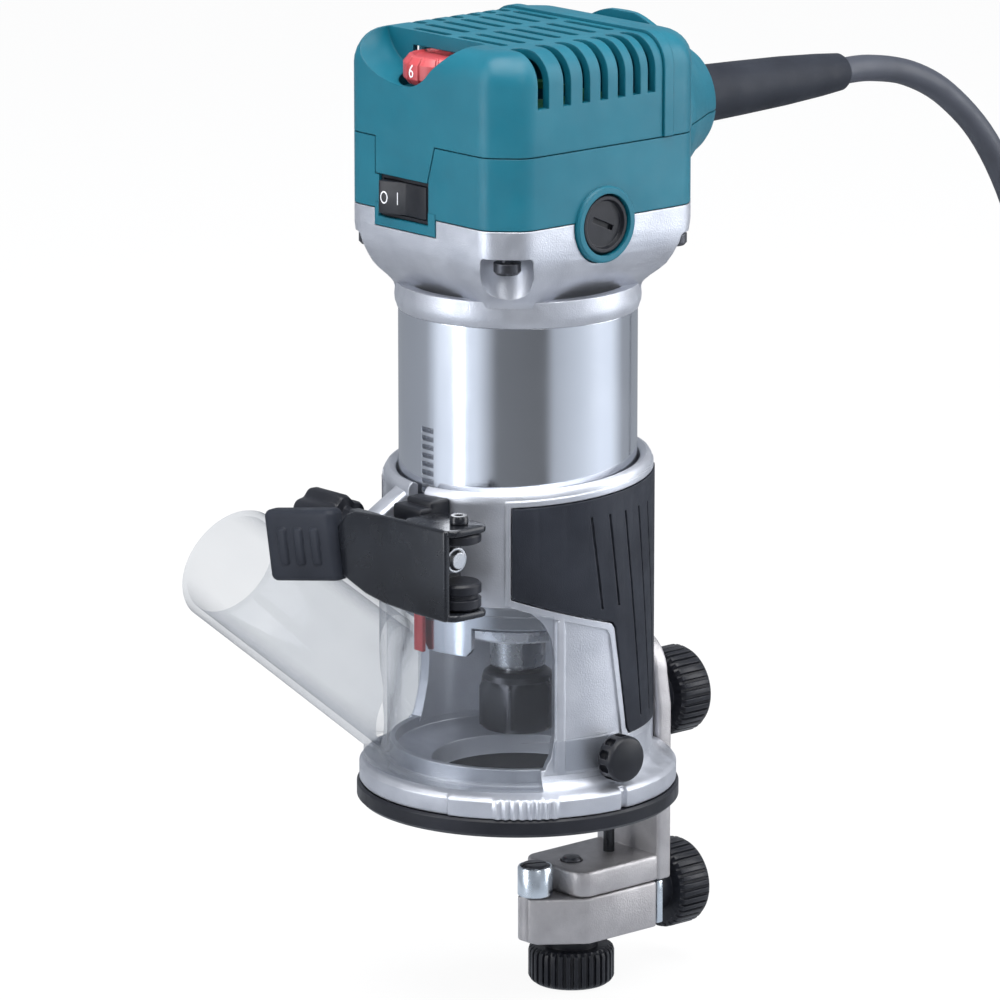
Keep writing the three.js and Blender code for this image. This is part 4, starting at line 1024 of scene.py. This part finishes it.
# ---------- cord ----------
CORD_ROUTE = [(0, 120.6, 187.5), (0, 132, 187.2), (0.5, 147, 184), (1, 162, 176), (2, 177, 161),
              (3.5, 189, 138), (5, 197.5, 108), (6.5, 202, 74), (8, 204.5, 38), (9, 206, 4), (10, 208, -22),
              (10, 213, -39), (10, 222, -50), (10, 236, FLOOR_Z + 3.8)]
COIL_X, COIL_Y, COIL_Z = 58.5, 264.0, FLOOR_Z + 3.8
COIL_RADII = (48.5, 41.0, 33.5)
LAYER_STEP = 7.4
PLUG_SHIFT = (-9.0, -43.0, -5.4)


def spline_points(points, per_span):
    """A smooth curve through given points (Catmull-Rom)."""
    out = []
    for i in range(len(points) - 1):
        p0 = Vector(points[max(i - 1, 0)])
        p1, p2 = Vector(points[i]), Vector(points[i + 1])
        p3 = Vector(points[min(i + 2, len(points) - 1)])
        for k in range(per_span):
            t = k / per_span
            out.append(0.5 * ((2 * p1) + (p2 - p0) * t + (2 * p0 - 5 * p1 + 4 * p2 - p3) * t * t
                              + (3 * p1 - p0 - 3 * p2 + p3) * t * t * t))
    out.append(Vector(points[-1]))
    return out


def smooth(f):
    return f * f * (3 - 2 * f)


def coil_points():
    """Three flat layers of three turns, wound clockwise from the landing side to the plug side."""
    points = []
    steps = 40
    turns = [r for layer in (COIL_RADII, COIL_RADII[::-1], COIL_RADII) for r in layer]
    for k in range(len(turns) * steps - steps // 2 + 1):
        turn_at = k / steps
        i = min(int(turn_at), len(turns) - 1)
        j = min(i + 1, len(turns) - 1)
        s = smooth(max(0.0, (turn_at - i - 0.75) / 0.25))
        r = turns[i] * (1 - s) + turns[j] * s
        level = (i // 3) * (1 - s) + (j // 3) * s
        t = math.pi - 2 * math.pi * turn_at
        z = COIL_Z + level * LAYER_STEP
        points.append(Vector((COIL_X + r * math.cos(t), COIL_Y + r * math.sin(t), z)))
    return points


def sweep(name, path, radius, sides=14):
    """A round tube along a polyline, with a frame carried from ring to ring."""
    rings = []
    up = Vector((1, 0, 0))
    angles = [2 * math.pi * k / sides for k in range(sides)]
    for i, p in enumerate(path):
        ahead = (path[min(i + 1, len(path) - 1)] - path[max(i - 1, 0)]).normalized()
        up = (up - ahead * up.dot(ahead)).normalized()
        side = ahead.cross(up)
        rings.append([tuple(p + (up * math.cos(t) + side * math.sin(t)) * radius) for t in angles])
    return loft(name, rings)


def cord_path():
    """From the sleeve down to the floor, round the coil and on to the plug."""
    path = spline_points(CORD_ROUTE, 6)
    landing = Vector((COIL_X - COIL_RADII[0], COIL_Y, COIL_Z))
    path += [path[-1].lerp(landing, k / 7) for k in range(1, 7)]
    path += coil_points()
    tail = path[-1]
    dx, dy, dz = PLUG_SHIFT
    for k in range(1, 11):
        f = k / 10
        path.append(tail + Vector((dx * smooth(f), dy * f, dz * f)))
    return path


def cord_parts():
    sleeve = [(6.0, 50), (8.4, 50), (8.4, 61.2), (8.2, 61.8), (8.1, 64), (7.6, 80), (6.9, 98), (6.0, 112),
              (5.3, 119.6), (4.9, 120.3), (3.6, 120.3)]
    guard = turned("cord_guard_sleeve", sleeve, "Y", (0, 0, CORD_Z), 64)
    finish(guard, RUBBER, "motor", "rubber", "cord_sleeve")
    path = cord_path()
    cord = sweep("mains_cord", path, CORD_R)
    cord.data.materials.append(CORD)
    cord.data.shade_smooth()
    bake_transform(cord)
    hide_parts("power_cord", "cord_coil")
    tie = coil_tie()
    plug = plug_parts(path[-1])
    metres = [tuple(p * MM) for p in path]
    length = sum((Vector(a) - Vector(b)).length for a, b in zip(metres, metres[1:]))
    return length


def coil_tie():
    """A flat strap round the far side of the coil."""
    low, high = FLOOR_Z + 0.1, FLOOR_Z + 23.4
    near, far = COIL_Y + COIL_RADII[-1] - 5.0, COIL_Y + COIL_RADII[0] + 5.0
    strap = prism("cord_coil_tie", rounded_plan(near, far, low, high, 3.5), COIL_X - 5, COIL_X + 5, "X")
    inside = rounded_plan(near + 0.9, far - 0.9, low + 0.5, high - 0.9, 3.0)
    carve(strap, prism("hole", inside, COIL_X - 9, COIL_X + 9, "X"))
    buckle = box("buckle", COIL_X - 6.5, COIL_X + 6.5, near + 8, near + 15, high - 1.2, high + 1.4)
    weld(strap, soften(buckle, 0.6, 2))
    return finish(strap, RUBBER, "base", "rubber")


def plug_parts(end):
    """A plug drawn from its pins back to the cord's end, and its two pins."""
    x, y, z = end.x, end.y, FLOOR_Z + 13.2
    profile = [(0.01, y - 46), (11.6, y - 46), (12.6, y - 44.8), (12.6, y - 38), (13, y - 34), (13, y - 17.6),
               (12, y - 16.4), (8, y - 15.6), (5.6, y - 6), (4.8, y - 1), (4.4, y)]
    body = turned("mains_plug_body", profile, "Y", (x, 0, z), 72)
    made = [finish(body, BLACK, "base", "black", "plug_body")]
    prong = [(0.01, y - 65), (1.6, y - 65), (2.4, y - 64), (2.4, y - 46.2)]
    for tag, dz in (("a", 7), ("b", -7)):
        pin = turned(f"mains_plug_pin_{tag}", prong, "Y", (x, 0, z + dz), 32)
        made.append(finish(pin, BRASS, "base", "brass", f"plug_pin_{tag}"))
    return made


# ---------- carried-over inner nodes ----------
INNER = [
    (STEEL, ("field_core", "rotor_core", "spindle", "lower_bearing", "upper_bearing", "collet_cone")),
    (BLACK, ("cooling_fan", "bearing_bridge")),
    (BRASS, ("brush_holder_right", "brush_holder_left")),
    (CARBON, ("carbon_brush_right", "carbon_brush_left")),
    (COPPER, ("commutator",)),
    (BOARD, ("control_board",)),
]


def paint_inner():
    for material, names in INNER:
        for name in names:
            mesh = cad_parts[name].data
            mesh.materials.clear()
            mesh.materials.append(material)


# ---------- studio ----------
CAMERA_AZIMUTH = math.radians(48.5)
CAMERA_DISTANCE, CAMERA_HEIGHT, CAMERA_LENS = 1837.0, 527.0, 249.48
CAMERA_PITCH, CAMERA_SWING = math.radians(13.58323), math.radians(0.15192)
# painted reflection: brightness of the bands the floor glows with for glossy rays only, standing in for lit
# areas round the table, by degrees from the camera
PAINTED_REFLECTION_BANDS = [(-180, 0.34), (-96, 0.44), (-80, 1.2), (-62, 1.2), (-59.5, 5.0), (-54.5, 5.0), (-52, 1.2),
               (-40, 1.15), (-20, 0.18), (26, 0.13), (34, 0.62), (60, 0.9), (84, 1.25), (100, 1.2),
               (118, 0.42), (180, 0.34)]
# painted reflection: the grey the floor glows with for glossy rays, near the tool and further out on the
# table
REFLECTED_NEAR_GREY, REFLECTED_TABLE_GREY = 0.68, 0.33


def floor_paper():
    """White paper to the eye; for glossy rays it glows with a painted reflection: a grey table with brighter
    bands painted round it.
    """
    material, tree, paper = blank_material("pale_floor")
    feed(tree, paper, {"Base Color": (0.86, 0.86, 0.87, 1), "Roughness": 0.9, "Specular IOR Level": 0.1})
    coords = add(tree, "TexCoord").outputs["Object"]
    turn_round = (0, 0, math.pi / 2 - CAMERA_AZIMUTH)
    place = add(tree, "Mapping", {"Rotation": turn_round, "Vector": coords}).outputs["Vector"]
    round_about = add(tree, "TexGradient", {"Vector": place}, gradient_type="RADIAL").outputs["Fac"]
    reach = add(tree, "VectorMath", {0: place}, operation="LENGTH").outputs["Value"]
    peak = max(v for _, v in PAINTED_REFLECTION_BANDS)
    # painted reflection: the bands' brightness round the tool, seen only by glossy rays
    stops = [(0.5 + a / 360, (0.82 * v / peak, 0.89 * v / peak, v / peak)) for a, v in PAINTED_REFLECTION_BANDS]
    greys = [(k, (0.84 * v / peak, 0.90 * v / peak, v / peak)) for k, v in ((0, REFLECTED_NEAR_GREY), (1, REFLECTED_TABLE_GREY))]
    table = ramp(tree, remap(tree, reach, 0.17, 0.26, 0, 1), greys)
    far = remap(tree, reach, 0.33, 0.47, 0, 1)
    light = blend_colors(tree, far, table, ramp(tree, round_about, stops))
    # painted reflection: this emission is what shiny parts reflect in place of the paper
    painted_reflections = add(tree, "Emission", {"Strength": peak, "Color": light}).outputs["Emission"]
    glow = add(tree, "Emission").outputs["Emission"]
    rays = add(tree, "LightPath").outputs
    shader = paper.outputs["BSDF"]
    shader = blend_shaders(tree, multiply(tree, rays["Is Camera Ray"], 0.93), shader, glow)
    # glossy rays see the painted reflection instead of the paper
    shader = blend_shaders(tree, multiply(tree, rays["Is Glossy Ray"], 0.95), shader, painted_reflections)
    feed(tree, tree.nodes["Material Output"], {"Surface": shader})
    return material


def aim(obj, direction):
    obj.rotation_mode = "QUATERNION"
    obj.rotation_quaternion = direction.to_track_quat("-Z", "Y")


def place_camera():
    camera = into_scene("camera", bpy.data.cameras.new("camera"))
    away = Vector((math.sin(CAMERA_AZIMUTH), -math.cos(CAMERA_AZIMUTH), 0))
    right = Vector((math.cos(CAMERA_AZIMUTH), math.sin(CAMERA_AZIMUTH), 0))
    level = -away * math.cos(CAMERA_SWING) - right * math.sin(CAMERA_SWING)
    camera.location = (away * CAMERA_DISTANCE + Vector((0, 0, CAMERA_HEIGHT))) * MM
    aim(camera, level * math.cos(CAMERA_PITCH) + Vector((0, 0, -math.sin(CAMERA_PITCH))))
    camera.data.sensor_width = 36
    camera.data.lens = CAMERA_LENS
    camera.data.clip_start, camera.data.clip_end = 0.05, 60
    SCENE.camera = camera


def lamp(name, turn_deg, elevation, reach, width, tall, power):
    """A softbox seen from the object at turn_deg right of the camera."""
    data = bpy.data.lights.new(name, "AREA")
    data.shape = "RECTANGLE"
    data.size, data.size_y = width, tall
    data.energy = power
    a, e = CAMERA_AZIMUTH + math.radians(turn_deg), math.radians(elevation)
    direction = Vector((math.sin(a) * math.cos(e), -math.cos(a) * math.cos(e), math.sin(e)))
    softbox = into_scene(name, data)
    softbox.location = Vector((0, 0, 0.08)) + direction * reach
    aim(softbox, -direction)


def studio():
    place_camera()
    half = 9000
    corners = [(-half, -half, FLOOR_Z), (half, -half, FLOOR_Z), (half, half, FLOOR_Z), (-half, half, FLOOR_Z)]
    floor = new_object("floor", corners, [(0, 1, 2, 3)])
    floor.data.materials.append(floor_paper())
    world = bpy.data.worlds.new("studio")
    world.use_nodes = True
    SCENE.world = world
    sky = world.node_tree.nodes["Background"]
    feed(world.node_tree, sky, {"Color": (0.86, 0.91, 1.0, 1), "Strength": 0.42})
    lamp("key_left", -64, 14, 1.3, 0.55, 1.7, 14)
    lamp("key_right", 92, 16, 1.3, 0.9, 1.6, 16)
    lamp("overhead", 10, 78, 1.3, 1.3, 1.3, 36)
    lamp("fill_front", 22, 26, 2.2, 0.8, 0.8, 7)
    SCENE.view_settings.view_transform = "Standard"


# ---------- assembly ----------
studio()
cord_length = cord_parts()
top_cover()
rear_cover()
lower_shell()
switch_parts()
speed_dial()
dial_mark()
brush_cap(1, "brush_cap_disc", "brush_cap_right")
brush_cap(-1, "brush_cap_disc_far", "brush_cap_left")
motor_housing()
housing_screws()
spindle_parts()
base_plate()
base_shell()
sole()
grip_pad(1)
grip_pad(-1)
nozzle()
nozzle_thumb_screw()
lock_lever()
lever_pin()
clamp_cam()
clamp_bolt()
lug_cap()
depth_drive()
guide_bracket()
guide_slider()
guide_roller()
guide_knobs()
slider_lock()
paint_inner()
